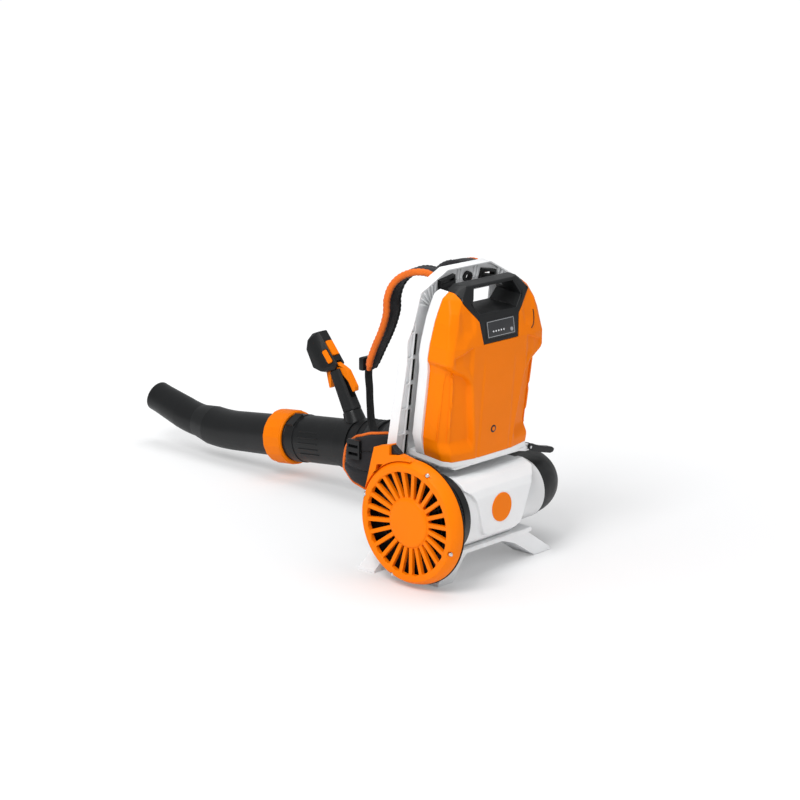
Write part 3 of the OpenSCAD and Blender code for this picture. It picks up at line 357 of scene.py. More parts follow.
def shell(node, finish, round_mm=1.0, segments=2, angle=28, look=32):
    """Stands for a rigid node: the same form with welded faces and rounded edges."""
    source = NODES[node]
    piece = bpy.data.objects.new(node + "_shell", source.data.copy())
    bpy.context.scene.collection.objects.link(piece)
    only(piece)
    bpy.ops.object.mode_set(mode="EDIT")
    bpy.ops.mesh.select_all(action="SELECT")
    bpy.ops.mesh.remove_doubles(threshold=0.00001)
    bpy.ops.mesh.dissolve_limited(angle_limit=math.radians(0.3))
    if node not in WHOLE_FACES:
        # a flat face with an opening stays open only as triangles
        bpy.ops.mesh.quads_convert_to_tris()
    bpy.ops.object.mode_set(mode="OBJECT")
    if node in SOFT_FORMS:
        # its faces blend into one another as in one moulding
        modify(piece, "REMESH", mode="VOXEL", voxel_size=1.6 * MM)
        modify(piece, "SMOOTH", factor=0.5, iterations=SOFT_FORMS[node])
        smooth(piece, 60)
    elif round_mm:
        modify(piece, "BEVEL", width=round_mm * MM, segments=segments, limit_method="ANGLE",
               angle_limit=math.radians(angle), use_clamp_overlap=node in SHORT_EDGES)
        # points that the rounding threw off come back to the form
        for vertex in piece.data.vertices:
            found, place, _, _ = source.closest_point_on_mesh(vertex.co)
            if found and (place - vertex.co).length > round_mm * MM:
                vertex.co = place
        smooth(piece, look)
        modify(piece, "WEIGHTED_NORMAL", keep_sharp=True, weight=100)
    else:
        smooth(piece, look)
    dress(piece, finish)
    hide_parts(node)
    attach(piece, source["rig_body"])
    return piece


def loft(name, rings, cap=True):
    """Skin over closed rings of points."""
    rings = np.asarray(rings, float)
    m, n = rings.shape[:2]
    points = rings.reshape(-1, 3)
    faces = [(i * n + j, i * n + (j + 1) % n, (i + 1) * n + (j + 1) % n, (i + 1) * n + j)
             for i in range(m - 1) for j in range(n)]
    if cap:
        faces += [tuple(range(n))[::-1], tuple(range((m - 1) * n, m * n))]
    return face_out(new_mesh(name, points * MM, faces))


def along(route, count):
    """Evenly spaced points on a smooth curve through the route, with their tangents."""
    p = np.asarray(route, float)
    ends = [2 * p[0] - p[1]], [2 * p[-1] - p[-2]]
    q = np.concatenate([ends[0], p, ends[1]])
    fine = []
    for i in range(len(p) - 1):
        a, b, c, d = q[i:i + 4]
        for t in np.linspace(0, 1, 24, endpoint=i == len(p) - 2):
            fine.append(0.5 * (2 * b + (c - a) * t + (2 * a - 5 * b + 4 * c - d) * t * t
                               + (3 * b - a - 3 * c + d) * t ** 3))
    fine = np.array(fine)
    run = np.concatenate([[0], np.cumsum(np.linalg.norm(np.diff(fine, axis=0), axis=1))])
    at = np.linspace(0, run[-1], count)
    points = np.stack([np.interp(at, run, fine[:, k]) for k in range(3)], 1)
    ways = np.gradient(points, axis=0)
    return points, ways / np.linalg.norm(ways, axis=1)[:, None], at


def frames(points, ways, side):
    """Side and up directions at each point: the side stays close to the given one."""
    side = np.broadcast_to(np.asarray(side, float), points.shape)
    up = np.cross(side, ways)
    up /= np.linalg.norm(up, axis=1)[:, None]
    across = np.cross(ways, up)
    return across, up


def round_rings(points, across, up, radius, sides):
    """Round rings along a route, for loft; the radius is one number or one for each point."""
    a = np.linspace(0, 2 * math.pi, sides, endpoint=False)
    radius = np.broadcast_to(radius, len(points))[:, None, None]
    return points[:, None] + radius * (np.cos(a)[None, :, None] * across[:, None]
                                       + np.sin(a)[None, :, None] * up[:, None])


def swell(value, power):
    """A sine or cosine to a power, with its sign: a power under 1 squares a round section."""
    return np.sign(value) * np.abs(value) ** power


def rise(value, low, high):
    """Smooth step from 0 at low to 1 at high."""
    t = np.clip((value - low) / (high - low), 0, 1)
    return t * t * (3 - 2 * t)


def leaned(points, angle=LEAN):
    """From the battery's own leaning frame to the machine's."""
    p = np.asarray(points, float)
    c, s = math.cos(angle), math.sin(angle)
    return np.stack([p[..., 0], p[..., 1] * c - p[..., 2] * s, p[..., 1] * s + p[..., 2] * c], -1)


def upright(points):
    """From the machine's frame back to the battery's leaning one."""
    return leaned(points, -LEAN)


def points_of(obj):
    """The mesh's points in mm."""
    return np.array([v.co for v in obj.data.vertices]) / MM


def move_points(obj, points):
    obj.data.vertices.foreach_set("co", (np.asarray(points) * MM).ravel())
    obj.data.update()


def mirrored(obj, name):
    """A copy on the other side of the middle plane, facing outwards."""
    twin = bpy.data.objects.new(name, obj.data.copy())
    bpy.context.scene.collection.objects.link(twin)
    twin.data.transform(Matrix.Scale(-1, 4, (1, 0, 0)))
    twin.data.flip_normals()
    return twin


def joined(pieces, name):
    """One object of several."""
    only(pieces[0])
    for p in pieces:
        p.select_set(True)
    bpy.ops.object.join()
    whole = bpy.context.view_layer.objects.active
    whole.name = name
    return whole


# ---------------------------------- settings


class BlowerLook(bpy.types.PropertyGroup):
    orange: FloatVectorProperty(name="Orange", description="Colour of the orange shells",
                                subtype="COLOR", size=3, default=(0.90, 0.198, 0.0))
    white: FloatVectorProperty(name="White", description="Colour of the white shells",
                               subtype="COLOR", size=3, default=(0.83, 0.835, 0.84))
    black: FloatVectorProperty(name="Black", description="Colour of the black plastic",
                               subtype="COLOR", size=3, default=(0.0085, 0.009, 0.0095))
    ribs: IntProperty(name="Hose ribs", description="Ribs along the air hose",
                      default=30, min=10, max=60)


# ---------------------------------- stage

# the photo's camera: turn about Z, dip, place in m, lens and sensor in mm, and sight in m
VIEW_TURN = math.radians(47.87)
VIEW_DIP = math.radians(13.87)
VIEW_FROM = (-3.3108, -2.7872, 1.4164)
VIEW_LENS, VIEW_SENSOR, VIEW_SIGHT = 99, 36, 200
# lamps: steps right, ahead and up from the middle, width in m and power in W
LAMPS_AIM = Vector((0, 0.25, 0.3))
LAMPS = {
    "key_lamp": (-0.95, -2.1, 2.4, 1.3, 70),
    "top_lamp": (0.4, 0.2, 3.0, 2.0, 38),
    "fill_lamp": (2.4, -1.6, 1.1, 2.0, 6),
}
ROOM_LIGHT = 0.47
FLOOR_WIDTH = 80
FLOOR_DROP = 0.0002
# the floor's own white, which only the camera sees: its share, its strength far away,
# what is missing of it in the middle, and the square of its reach
GLOW_SHARE = 0.3
GLOW_FAR = 2.4
GLOW_MISSING = 1.75
GLOW_REACH = 2.56
WHITE = (1, 1, 1, 1)
FLOOR_COLOUR = (0.94, 0.94, 0.945, 1)
ROOM_COLOUR = (0.97, 0.985, 1.0, 1)


def wired(tree, kind, *inputs, out=0, **settings):
    """Output of a new shader node; each input is a value or another node's output."""
    node = tree.nodes.new(kind)
    for key, value in settings.items():
        setattr(node, key, value)
    for socket, value in zip(node.inputs, inputs):
        if isinstance(value, bpy.types.NodeSocket):
            tree.links.new(value, socket)
        else:
            socket.default_value = value
    return node.outputs[out] if node.outputs else None


class BLOWER_OT_stage(bpy.types.Operator):
    """Floor, soft lamps, pale surroundings and the camera"""
    bl_idname = "blower.stage"
    bl_label = "Stage"

    def execute(self, context):
        scene = context.scene
        scene.view_settings.view_transform = "Standard"
        bpy.ops.mesh.primitive_plane_add(size=FLOOR_WIDTH, location=(0, 0, -FLOOR_DROP))
        floor = context.active_object
        floor.name = "floor"
        floor.data.transform(floor.matrix_world)
        floor.matrix_world = Matrix.Identity(4)
        material = bpy.data.materials.new("pale_floor")
        material.use_nodes = True
        tree = material.node_tree
        tree.nodes.clear()
        matt = wired(tree, "ShaderNodeBsdfDiffuse", FLOOR_COLOUR)
        glow = wired(tree, "ShaderNodeEmission", WHITE, self.glow_far(tree))
        seen = wired(tree, "ShaderNodeLightPath", out="Is Camera Ray")
        share = wired(tree, "ShaderNodeMath", seen, GLOW_SHARE, operation="MULTIPLY")
        wired(tree, "ShaderNodeOutputMaterial", wired(tree, "ShaderNodeMixShader", share, matt, glow))
        floor.data.materials.append(material)

        world = bpy.data.worlds.new("pale_room")
        scene.world = world
        world.use_nodes = True
        tree = world.node_tree
        tree.nodes.clear()
        soft = wired(tree, "ShaderNodeBackground", ROOM_COLOUR, ROOM_LIGHT)
        white = wired(tree, "ShaderNodeBackground", WHITE, 1.0)
        seen = wired(tree, "ShaderNodeLightPath", out="Is Camera Ray")
        through = wired(tree, "ShaderNodeLightPath", out="Is Transmission Ray")
        either = wired(tree, "ShaderNodeMath", seen, through, operation="MAXIMUM")
        wired(tree, "ShaderNodeOutputWorld", wired(tree, "ShaderNodeMixShader", either, soft, white))

        right = Vector((math.cos(VIEW_TURN), -math.sin(VIEW_TURN), 0))
        ahead = Vector((math.sin(VIEW_TURN), math.cos(VIEW_TURN), 0))
        for name, (aside, on, high, size, power) in LAMPS.items():
            place = LAMPS_AIM + right * aside + ahead * on + Vector((0, 0, high))
            lamp = bpy.data.lights.new(name, "AREA")
            lamp.shape = "SQUARE"
            lamp.size = size
            lamp.energy = power
            holder = bpy.data.objects.new(name, lamp)
            holder.location = place
            holder.rotation_euler = (LAMPS_AIM - place).to_track_quat("-Z", "Y").to_euler()
            scene.collection.objects.link(holder)

        way = ahead * math.cos(VIEW_DIP) - Vector((0, 0, math.sin(VIEW_DIP)))
        lens = bpy.data.cameras.new("camera")
        lens.lens, lens.sensor_width = VIEW_LENS, VIEW_SENSOR
        lens.clip_end = VIEW_SIGHT
        camera = bpy.data.objects.new("camera", lens)
        camera.location = VIEW_FROM
        camera.rotation_euler = way.to_track_quat("-Z", "Y").to_euler()
        scene.collection.objects.link(camera)
        scene.camera = camera
        return {"FINISHED"}

    def glow_far(self, tree):
        """Strength of the floor's own white: low where the lamps reach, full far away."""
        place = wired(tree, "ShaderNodeTexCoord", out="Object")
        square = wired(tree, "ShaderNodeVectorMath", place, place, out="Value", operation="DOT_PRODUCT")
        # far - missing / (1 + distance squared / reach)
        near = wired(tree, "ShaderNodeMath", square, GLOW_REACH, operation="DIVIDE")
        near = wired(tree, "ShaderNodeMath", near, 1.0, operation="ADD")
        near = wired(tree, "ShaderNodeMath", GLOW_MISSING, near, operation="DIVIDE")
        return wired(tree, "ShaderNodeMath", GLOW_FAR, near, operation="SUBTRACT")


# ---------------------------------- finishes of the frame

KEPT = {
    "cradle_terminal": "dark_inner", "flow_duct": "dark_inner", "stator_vanes": "dark_inner",
    "motor_can": "turned_aluminium", "motor_bearings": "brushed_steel", "tail_cone": "dark_inner",
    "control_board": "circuit_board", "motor_shaft": "brushed_steel", "cell_pack": "cell_sleeve",
    "battery_terminal": "dark_inner", "handle_pins": "brushed_steel", "intake_screen": "dark_inner",
}
SHELLS = {
    # node: finish, rounding in mm
    "base_stand": ("white_shell", 1.6), "backplate": ("white_shell", 0.7),
    "battery_cradle": ("white_shell", 1.4), "housing_rear": ("white_shell", 1.4),
    "housing_front": ("white_shell", 1.4), "housing_badge": ("orange_shell", 0.5),
    "intake_duct": ("black_shell", 0.5), "intake_frame": ("black_shell", 0.6),
    "intake_cover": ("orange_shell", 1.2), "cover_screws": ("brushed_steel", 0.3),
    # the outlet duct's darker white is painted shade, not a grey plastic
    "ear_insert": ("black_shell", 0.6), "outlet_duct": ("grey_shell", 0.6),
    "elbow": ("hose_rubber", 1.2), "elbow_clamp": ("brushed_steel", 0.3),
    "strap_adjusters": ("black_shell", 1.0), "strap_anchors": ("black_shell", 1.0),
    "hip_buckles": ("black_shell", 1.0), "battery_shell": ("white_shell", 1.6),
    "battery_handle": ("black_shell", 2.4),
    "lever_pivot": ("brushed_steel", 0.3), "battery_lever": ("black_shell", 1.5),
    "main_tube": ("black_shell", 0.7), "tube_clamp": ("black_shell", 0.6),
    "coupling_ring": ("orange_shell", 0.8), "nozzle": ("black_shell", 0.8),
    "handle_clamp": ("black_shell", 1.0), "handle_grip": ("soft_grip", 1.5),
    "handle_head": ("black_shell", 1.6), "handle_display": ("dark_panel", 0.4),
    "throttle_trigger": ("orange_shell", 1.2), "lockout_lever": ("orange_shell", 1.2),
    "button_left": ("orange_shell", 1.0), "button_main": ("orange_shell", 1.0),
    "fan_rotor": ("black_shell", 0.5),
}
# nodes whose flat faces stay whole, and nodes whose short edges hold the rounding back
WHOLE_FACES = {"handle_head", "strap_anchors"}
SHORT_EDGES = {"nozzle"}
# nodes whose faces blend into one another, with the rounds of smoothing
SOFT_FORMS = {"housing_rear": 10, "housing_front": 10}
RING_GROOVES = 16
RING_GROOVE_DEPTH = 1.3


class BLOWER_OT_shells(bpy.types.Operator):
    """Rigid pieces of the frame, with rounded edges and their own finishes"""
    bl_idname = "blower.shells"
    bl_label = "Shells"

    def execute(self, context):
        for node, finish in KEPT.items():
            dress(NODES[node], finish)
        for node, (finish, rounding) in SHELLS.items():
            piece = shell(node, finish, rounding)
            if node == "coupling_ring":
                self.knurled(piece)
        return {"FINISHED"}

    def knurled(self, ring):
        """Shallow grip grooves along the ring's outer face."""
        p = points_of(ring)
        off = p - np.array(TUBE_START)
        way = np.array(TUBE_WAY)
        off -= (off @ way)[:, None] * way
        reach = np.linalg.norm(off, axis=1)
        turn = np.arctan2(off[:, 0], off @ np.cross(way, (1, 0, 0)))
        outer = rise(reach, reach.max() - 3, reach.max() - 0.5)
        groove = np.clip(np.cos(turn * RING_GROOVES), 0, 1) ** 8 * outer
        move_points(ring, p - off / reach[:, None] * (RING_GROOVE_DEPTH * groove)[:, None])


# ---------------------------------- battery cover

# Sections of the battery from the foot up: level, then half width and depth of
# the rear flat's edge, of the rear corner and of the side's start
BATTERY_LEVELS = np.array([
    [250, 56, -16, 116, -6, 128, 10], [290, 60, -15, 124, -3, 144, 18],
    [407, 79, -11, 128, -2, 143, 18], [428, 90, -10, 131, 0, 143, 16],
    [455, 112, -8, 140, -2, 148, 6], [485, 108, -6, 138, 0, 146, 8],
    [531, 64, 5, 121, 9, 137, 19], [552, 70, 11, 117, 13, 130, 26],
    [575, 80, 18, 102, 21, 121, 40], [599, 62, 32, 77, 34, 84, 44],
], float)
COVER_FRONT = 56.0
COVER_WALL = 3
COVER_COLUMNS = 92
# black bead on the right shoulder, painted shade of a curved groove: across and height of its points,
# and its radius
GROOVE_SHADE = ((111, 530), (112, 521), (111, 513), (108, 506), (103, 500), (96, 496))
GROOVE_SHADE_RADIUS = 1.1
HANDLE_EDGE = np.array([[54.3, 484.7], [62.3, 530.7], [101.3, 570.7], [110.3, 629.7]])


def cover_half(levels, count):
    """Half profile of the cover at each level: middle of the rear face to the side's front edge."""
    rows = []
    for z in levels:
        b = [np.interp(z, BATTERY_LEVELS[:, 0], BATTERY_LEVELS[:, k]) for k in range(1, 7)]
        corner = np.array([[0, b[1]], [b[0], b[1]], [b[2], b[3]], [b[4], b[5]],
                           [b[4], COVER_FRONT]])
        run = np.concatenate([[0], np.cumsum(np.linalg.norm(np.diff(corner, axis=0), axis=1))])
        at = np.linspace(0, run[-1], count)
        row = np.stack([np.interp(at, run, corner[:, k]) for k in (0, 1)], 1)
        # the moulding rounds its corners
        for _ in range(2):
            row[1:-1] = row[1:-1] * 0.5 + (row[:-2] + row[2:]) * 0.25
        rows.append(row)
    return np.array(rows)


def cover_relief(x, y, z):
    """How far the cover's face is sunk at each point, in mm."""
    # hand grips low on both sides: a steep inner wall, a round upper end, run out at the bottom
    inner = np.interp(z, [262, 300, 407, 425], [58, 63, 80, 92])
    top = np.interp(x, [80, 92, 136, 150], [405, 425, 447, 452])
    depth = 11.5 * rise(x, inner, inner + 12) * rise(top - z, -1, 10) * rise(z, 262, 292)
    depth *= 1 - 0.55 * rise(y, 6, 40)
    # shoulder facet above the grip, with a crisp diagonal lower edge
    diagonal = 484 - (x - 85) * 0.333
    facet = rise(x, 80, 92) * (1 - rise(x, 128, 138))
    depth += 4.0 * facet * rise(diagonal - z, -1.2, 1.8) * rise(z - top, -4, 20)
    # shallow hollow between the handle and the shoulder's crease
    hollow = rise(x, 70, 84) * (1 - rise(x, 104, 121))
    depth += 2.6 * hollow * rise(z, 500, 520) * (1 - rise(z, 560, 585))
    # flat tongue down the middle, framed by two faint lines
    depth += 1.2 * rise(x, 44, 50) * (1 - rise(x, 50, inner)) * rise(470 - z, 0, 60)
    return depth


class BLOWER_OT_battery_cover(bpy.types.Operator):
    """Orange cover of the battery, with its grips, shoulders and creases"""
    bl_idname = "blower.battery_cover"
    bl_label = "Battery cover"

    def execute(self, context):
        levels = np.concatenate([[250, 251.5], np.arange(254, 597, 2.4), [597.5, 599]])
        half = cover_half(levels, COVER_COLUMNS)
        x, y = half[..., 0], half[..., 1]
        z = np.broadcast_to(levels[:, None], x.shape)
        sink = cover_relief(x, y, z)
        # normals of the profile, pointing inwards
        tangent = np.gradient(half, axis=1)
        tangent /= np.linalg.norm(tangent, axis=-1)[..., None] + 1e-9
        inward = np.stack([-tangent[..., 1], tangent[..., 0]], -1)
        x = x + inward[..., 0] * sink
        y = y + inward[..., 1] * sink
        right = np.stack([x, y, z], -1)
        left = right[:, :0:-1].copy()
        left[..., 0] *= -1
        grid = np.concatenate([left, right], 1)
        rows, columns = grid.shape[:2]
        faces = []
        for i in range(rows - 1):
            for j in range(columns - 1):
                a = i * columns + j
                faces.append((a, a + 1, a + columns + 1, a + columns))
        cover = new_mesh("battery_cover_skin", leaned(grid.reshape(-1, 3)) * MM, faces)
        face_out(cover)
        modify(cover, "SOLIDIFY", thickness=COVER_WALL * MM, offset=-1)
        smooth(cover, 40)
        dress(cover, "orange_shell")
        # opening for the handle
        cutter = self.cutter()
        cut = cover.modifiers.new("handle", "BOOLEAN")
        cut.object, cut.operation, cut.solver = cutter, "DIFFERENCE", "EXACT"
        only(cover)
        bpy.ops.object.modifier_apply(modifier=cut.name)
        bpy.data.objects.remove(cutter)
        smooth(cover, 40)
        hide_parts("battery_cover")
        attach(cover, "battery")
        self.seam(cover)
        return {"FINISHED"}

    def seam(self, cover):
        """Black curved bead on the right shoulder: painted shade of a groove."""
        ahead = Vector(leaned((0, 1, 0)))
        route = []
        for x, z in GROOVE_SHADE:
            _, place, _, _ = cover.ray_cast(Vector(leaned((x, -100, z))) * MM, ahead)
            route.append(place / MM)
        points, ways, _ = along(route, 40)
        across, up = frames(points, ways, ahead)
        rings = round_rings(points, across, up, GROOVE_SHADE_RADIUS, 10)
        bead = dress(smooth(loft("battery_groove_shade", rings)), "black_shell")
        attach(bead, "battery")

    def cutter(self):
        edge = [(0, HANDLE_EDGE[0][1])] + [tuple(p) for p in HANDLE_EDGE] + [(0, 640)]
        outline = edge + [(-a, b) for a, b in reversed(edge) if a > 0]
        rings = [[(a, y, b) for a, b in outline] for y in (-80, 120)]
        return loft("cutter", leaned(np.array(rings)))


# ---------------------------------- harness

STRAP_ROUTE = [(-62, 37, 598), (-62, 66, 612), (-65, 100, 611), (-69, 130, 598),
               (-73, 150, 577), (-78, 157, 551), (-83, 155, 521), (-88, 163, 487),
               (-92, 181, 447), (-95, 193, 418), (-96, 198, 399)]
STRAP_HALF = 29
STRAP_THICK = 7.0
# the binding puckers once in each of these lengths
PUCKER = 9.5
# section of the binding: out from the strap's edge, and up
BINDING = np.array([(-5, 6.6), (-2.4, 7.0), (0.8, 6.3), (2.7, 3.4), (3.1, 0), (2.7, -3.4),
                    (0.8, -6.3), (-2.4, -7.0), (-5, -6.6), (-5, -5.2), (0.2, -5.0), (1.6, 0),
                    (0.2, 5.0), (-5, 5.2)])
WEB_ROUTE = [(-97, 206, 399), (-98, 205, 380), (-98, 202.5, 354), (-100, 200, 322),
             (-104, 192, 290), (-109, 174, 263), (-114, 146, 246), (-118, 113, 238)]
WEB_HALF = 12.5
WEB_THICK = 1.15
WING_ROUTE = [(-98, 124.4, 212), (-126, 127.4, 211), (-147, 145, 209), (-160, 174, 206),
              (-166, 206, 202), (-167, 230, 201)]
# half height and half thickness of the wing at these shares of its length
WING_SHARES = [0, 0.2, 0.38, 0.62, 0.85, 1]
WING_TALL = [56, 62, 64, 60, 48, 29]
WING_THICK = [5.5, 7.5, 8.4, 8.4, 7.5, 4.5]
PIPING_RADIUS = 3.0
# pads: middle across and up, half width, half height and thickness
PAD_BASE = 104.8
PADS = {
    "back_pad_left": (-62, 440, 46, 78, 26),
    "back_pad_right": (62, 440, 46, 78, 26),
    "lumbar_pad_cushion": (0, 290, 88, 50, 28),
}
# a pad's sections from the plate outwards: share of its thickness and of its width
CROWN = ((0, 0.93), (0.1, 0.97), (0.3, 1.0), (0.5, 0.985), (0.68, 0.95), (0.82, 0.89),
         (0.92, 0.8), (0.97, 0.68), (1.0, 0.5), (1.0, 0.3), (1.0, 0.12))
CHANNEL_DEPTH = 3.4
# the cloth simulation: size of its faces, pressure and length in frames
CLOTH_VOXEL = 5
CLOTH_PRESSURE = 4.0
CLOTH_FRAMES = 20
# how far the filling may swell a pad and a wing
PAD_SWELL = 3
WING_SWELL = 1.6


def strap_width(t):
    """Half width of a shoulder strap along its length, t from 0 to 1."""
    shares = np.interp(t, [0, 0.09, 0.2, 0.8, 0.92, 1], [0.66, 0.78, 1, 1, 0.86, 0.62])
    return STRAP_HALF * shares


class BLOWER_OT_harness(bpy.types.Operator):
    """Shoulder straps, webbing, pads and hip wings"""
    bl_idname = "blower.harness"
    bl_label = "Harness"

    def execute(self, context):
        for side in ("left", "right"):
            self.shoulder(side)
            self.webbing(side)
            self.wing(side)
        self.pads()
        return {"FINISHED"}

    def put(self, piece, side, finish, pad=None):
        if side == "right":
            twin = mirrored(piece, piece.name.split(".")[0].replace("left", "right"))
            bpy.data.objects.remove(piece)
            piece = twin
        smooth(piece, 60)
        dress(piece, finish)
        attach(piece, "unit")
        return piece

    def shoulder(self, side):
        count, around = 150, 40
        points, ways, run = along(STRAP_ROUTE, count)
        across, up = frames(points, ways, (1, 0.25, 0))
        t = run / run[-1]
        a = np.linspace(0, 2 * math.pi, around, endpoint=False)
        rings = []
        for i in range(count):
            w = strap_width(t[i]) - 2.5
            end = min(1.0, 0.45 + 12 * min(t[i], 1 - t[i]))
            c, s = np.cos(a), np.sin(a)
            u = w * swell(c, 0.75)
            v = STRAP_THICK * end * swell(s, 0.8)
            # the cloth is gathered by the binding, and pulled in by two sewn lines
            wave = np.sin(run[i] * 2 * math.pi / PUCKER + 1.7 * np.sin(run[i] / 37))
            pucker = 0.55 * wave * np.abs(u / w) ** 3
            line = np.exp(-((np.abs(u) - w * 0.52) / 1.6) ** 2) * 1.5
            fold = 0.8 * np.sin(run[i] / 23 + u / 17) + 0.5 * np.sin(run[i] / 9 - u / 11)
            v = v + (pucker - line + fold * 0.6) * swell(s, 0.5)
            rings.append(points[i] + u[:, None] * across[i] + v[:, None] * up[i])
        body = loft("shoulder_strap_left_pad", rings)
        body = self.put(body, side, "pad_mesh", 0.5)
        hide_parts("shoulder_strap_" + side)
        for edge in (-1, 1):
            self.binding(points, ways, across, up, run, edge, side)

    def binding(self, points, ways, across, up, run, edge, side):
        """Tape folded over the strap's edge: orange on the outer side, black on the inner."""
        t = run / run[-1]
        rings = []
        for i in range(len(points)):
            w = strap_width(t[i]) - 2.8
            end = min(1.0, 0.5 + 12 * min(t[i], 1 - t[i]))
            wave = 0.5 * math.sin(run[i] * 2 * math.pi / PUCKER)
            place = [edge * (w + q[0]) * across[i] + (q[1] * end + wave * np.sign(q[1])) * up[i]
                     for q in BINDING]
            rings.append([points[i] + p for p in place])
        tape = loft("strap_binding_left_" + ("outer" if edge < 0 else "inner"), rings)
        self.put(tape, side, "orange_binding" if edge < 0 else "pad_cloth")

    def webbing(self, side):
        points, ways, run = along(WEB_ROUTE, 90)
        across, up = frames(points, ways, (1, 0.1, 0))
        half, thick = WEB_HALF, WEB_THICK
        section = [(-half, -thick * 0.5), (-half + 0.8, -thick), (half - 0.8, -thick),
                   (half, -thick * 0.5), (half, thick * 0.5), (half - 0.8, thick),
                   (-half + 0.8, thick), (-half, thick * 0.5)]
        rings = []
        for i in range(len(points)):
            ripple = 0.8 * math.sin(run[i] / 19) + 0.4 * math.sin(run[i] / 7.3)
            twist = 0.05 * math.sin(run[i] / 41)
            wide = 1 + 0.7 * rise(run[i] / run[-1], 0.7, 0.92)
            rings.append([points[i] + q[0] * wide * across[i]
                          + (q[1] + ripple * 0.5 + twist * q[0]) * up[i] for q in section])
        strap = loft("strap_webbing_left_cloth", rings)
        self.strap_map(strap, points, across, run, half)
        strap = self.put(strap, side, "webbing")
        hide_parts("strap_webbing_" + side)

    def strap_map(self, strap, points, across, run, half):
        """Map that runs along the strap: across from 0 to 1, along in metres."""
        layer = strap.data.uv_layers.new(name="strap")
        where = np.array([v.co for v in strap.data.vertices]) / MM
        nearest = np.argmin(((where[:, None] - points[None]) ** 2).sum(-1), 1)
        u = ((where - points[nearest]) * across[nearest]).sum(-1) / (2 * half) + 0.5
        for loop in strap.data.loops:
            layer.data[loop.index].uv = (u[loop.vertex_index], run[nearest[loop.vertex_index]] * MM)

    def wing(self, side):
        points, ways, run = along(WING_ROUTE, 46)
        count = len(points)
        t = run / run[-1]
        half_h = np.interp(t, WING_SHARES, WING_TALL)
        half_t = np.interp(t, WING_SHARES, WING_THICK)
        a = np.linspace(0, 2 * math.pi, 56, endpoint=False)
        rings = []
        up = np.array([0.0, 0.0, 1.0])
        for i in range(count):
            s = np.cross(ways[i], up)
            s /= np.linalg.norm(s)
            v = half_h[i] * swell(np.sin(a), 0.55)
            u = half_t[i] * swell(np.cos(a), 0.7)
            rings.append(points[i] + u[:, None] * s + v[:, None] * up)
        body = self.blown(loft("hip_wing_left_pad", leaned(np.array(rings))), WING_SWELL)
        # two sewn channels along the wing
        p = upright(points_of(body))
        near = np.argmin(((p[:, None, :2] - points[None, :, :2]) ** 2).sum(-1), 1)
        aside = np.cross(ways, up)[near]
        aside /= np.linalg.norm(aside, axis=1)[:, None]
        off = ((p - points[near]) * aside).sum(-1)
        high = p[:, 2] - points[near, 2]
        for line in (-0.36, 0.36):
            press = 0.4 * np.exp(-((high - line * half_h[near]) / 2.4) ** 2)
            p -= (press * off)[:, None] * aside
        move_points(body, leaned(p))
        body = self.put(body, side, "pad_cloth", 0.5)
        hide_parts("hip_wing_" + side)
        self.piping(points, ways, half_h, side)

    def piping(self, points, ways, half_h, side):
        """Binding round the wing's free edge: top, tip and bottom."""
        up = np.array([0.0, 0.0, 1.0])
        top = np.array([p + h * up for p, h in zip(points[2:], half_h[2:])])
        low = np.array([p - h * up for p, h in zip(points[2:], half_h[2:])])
        tip = points[-1] + (points[-1] - points[-2]) * 0.5
        arc = [tip + half_h[-1] * share * up + ways[-1] * 2.5 for share in (0.8, 0.4, 0, -0.4, -0.8)]
        edge, ways, _ = along(np.concatenate([top, arc, low[::-1]])[::3], 150)
        # a direction well off the edge's own at each point
        other = np.where(np.abs(ways[:, :1]) < 0.8, (1.0, 0.0, 0.0), (0.0, 0.0, 1.0))
        across = np.cross(ways, other)
        across /= np.linalg.norm(across, axis=1)[:, None]
        rings = round_rings(edge, across, np.cross(ways, across), PIPING_RADIUS, 10)
        piping = loft("hip_wing_left_piping", leaned(rings))
        self.put(piping, side, "orange_binding")

    def blown(self, pad, cap):
        """The pad as sewn cloth that its filling swells, simulated and then applied."""
        modify(pad, "REMESH", mode="VOXEL", voxel_size=CLOTH_VOXEL * MM)
        start = points_of(pad)
        cloth = pad.modifiers.new("Cloth", "CLOTH")
        cloth.settings.use_pressure = True
        cloth.settings.uniform_pressure_force = CLOTH_PRESSURE
        cloth.settings.effector_weights.gravity = 0.0
        for frame in range(1, CLOTH_FRAMES + 1):
            bpy.context.scene.frame_set(frame)
        only(pad)
        bpy.ops.object.modifier_apply(modifier=cloth.name)
        bpy.context.scene.frame_set(1)
        moved = points_of(pad) - start
        reach = np.linalg.norm(moved, axis=1)[:, None] + 1e-9
        move_points(pad, start + moved * np.minimum(1, cap / reach))
        modify(pad, "SUBSURF", levels=1, render_levels=1)
        return pad

    def pads(self):
        for name, (cx, cz, w, h, thick) in PADS.items():
            pad = self.cushion(name, cx, cz, w - PAD_SWELL, h - PAD_SWELL, thick - PAD_SWELL)
            pad = self.blown(pad, PAD_SWELL)
            self.sewn(pad, cx, cz, w, h, thick)
            smooth(pad, 60)
            dress(pad, "pad_mesh")
            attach(pad, "unit")
            if name.endswith("left"):
                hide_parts("back_pads")
            if name.startswith("lumbar"):
                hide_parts("lumbar_pad")

    def cushion(self, name, cx, cz, w, h, thick):
        """Crowned pad on the backplate, flat behind and with its sides pulled in."""
        a = np.linspace(0, 2 * math.pi, 72, endpoint=False)
        shape = np.stack([swell(np.cos(a), 0.42), swell(np.sin(a), 0.42)], 1)
        rings = []
        for depth, scale in CROWN:
            p = shape * np.array([w, h]) * scale
            out = np.full(len(a), PAD_BASE + thick * depth)
            rings.append(np.stack([cx + p[:, 0], out, cz + p[:, 1]], 1))
        return loft(name, leaned(np.array(rings)))

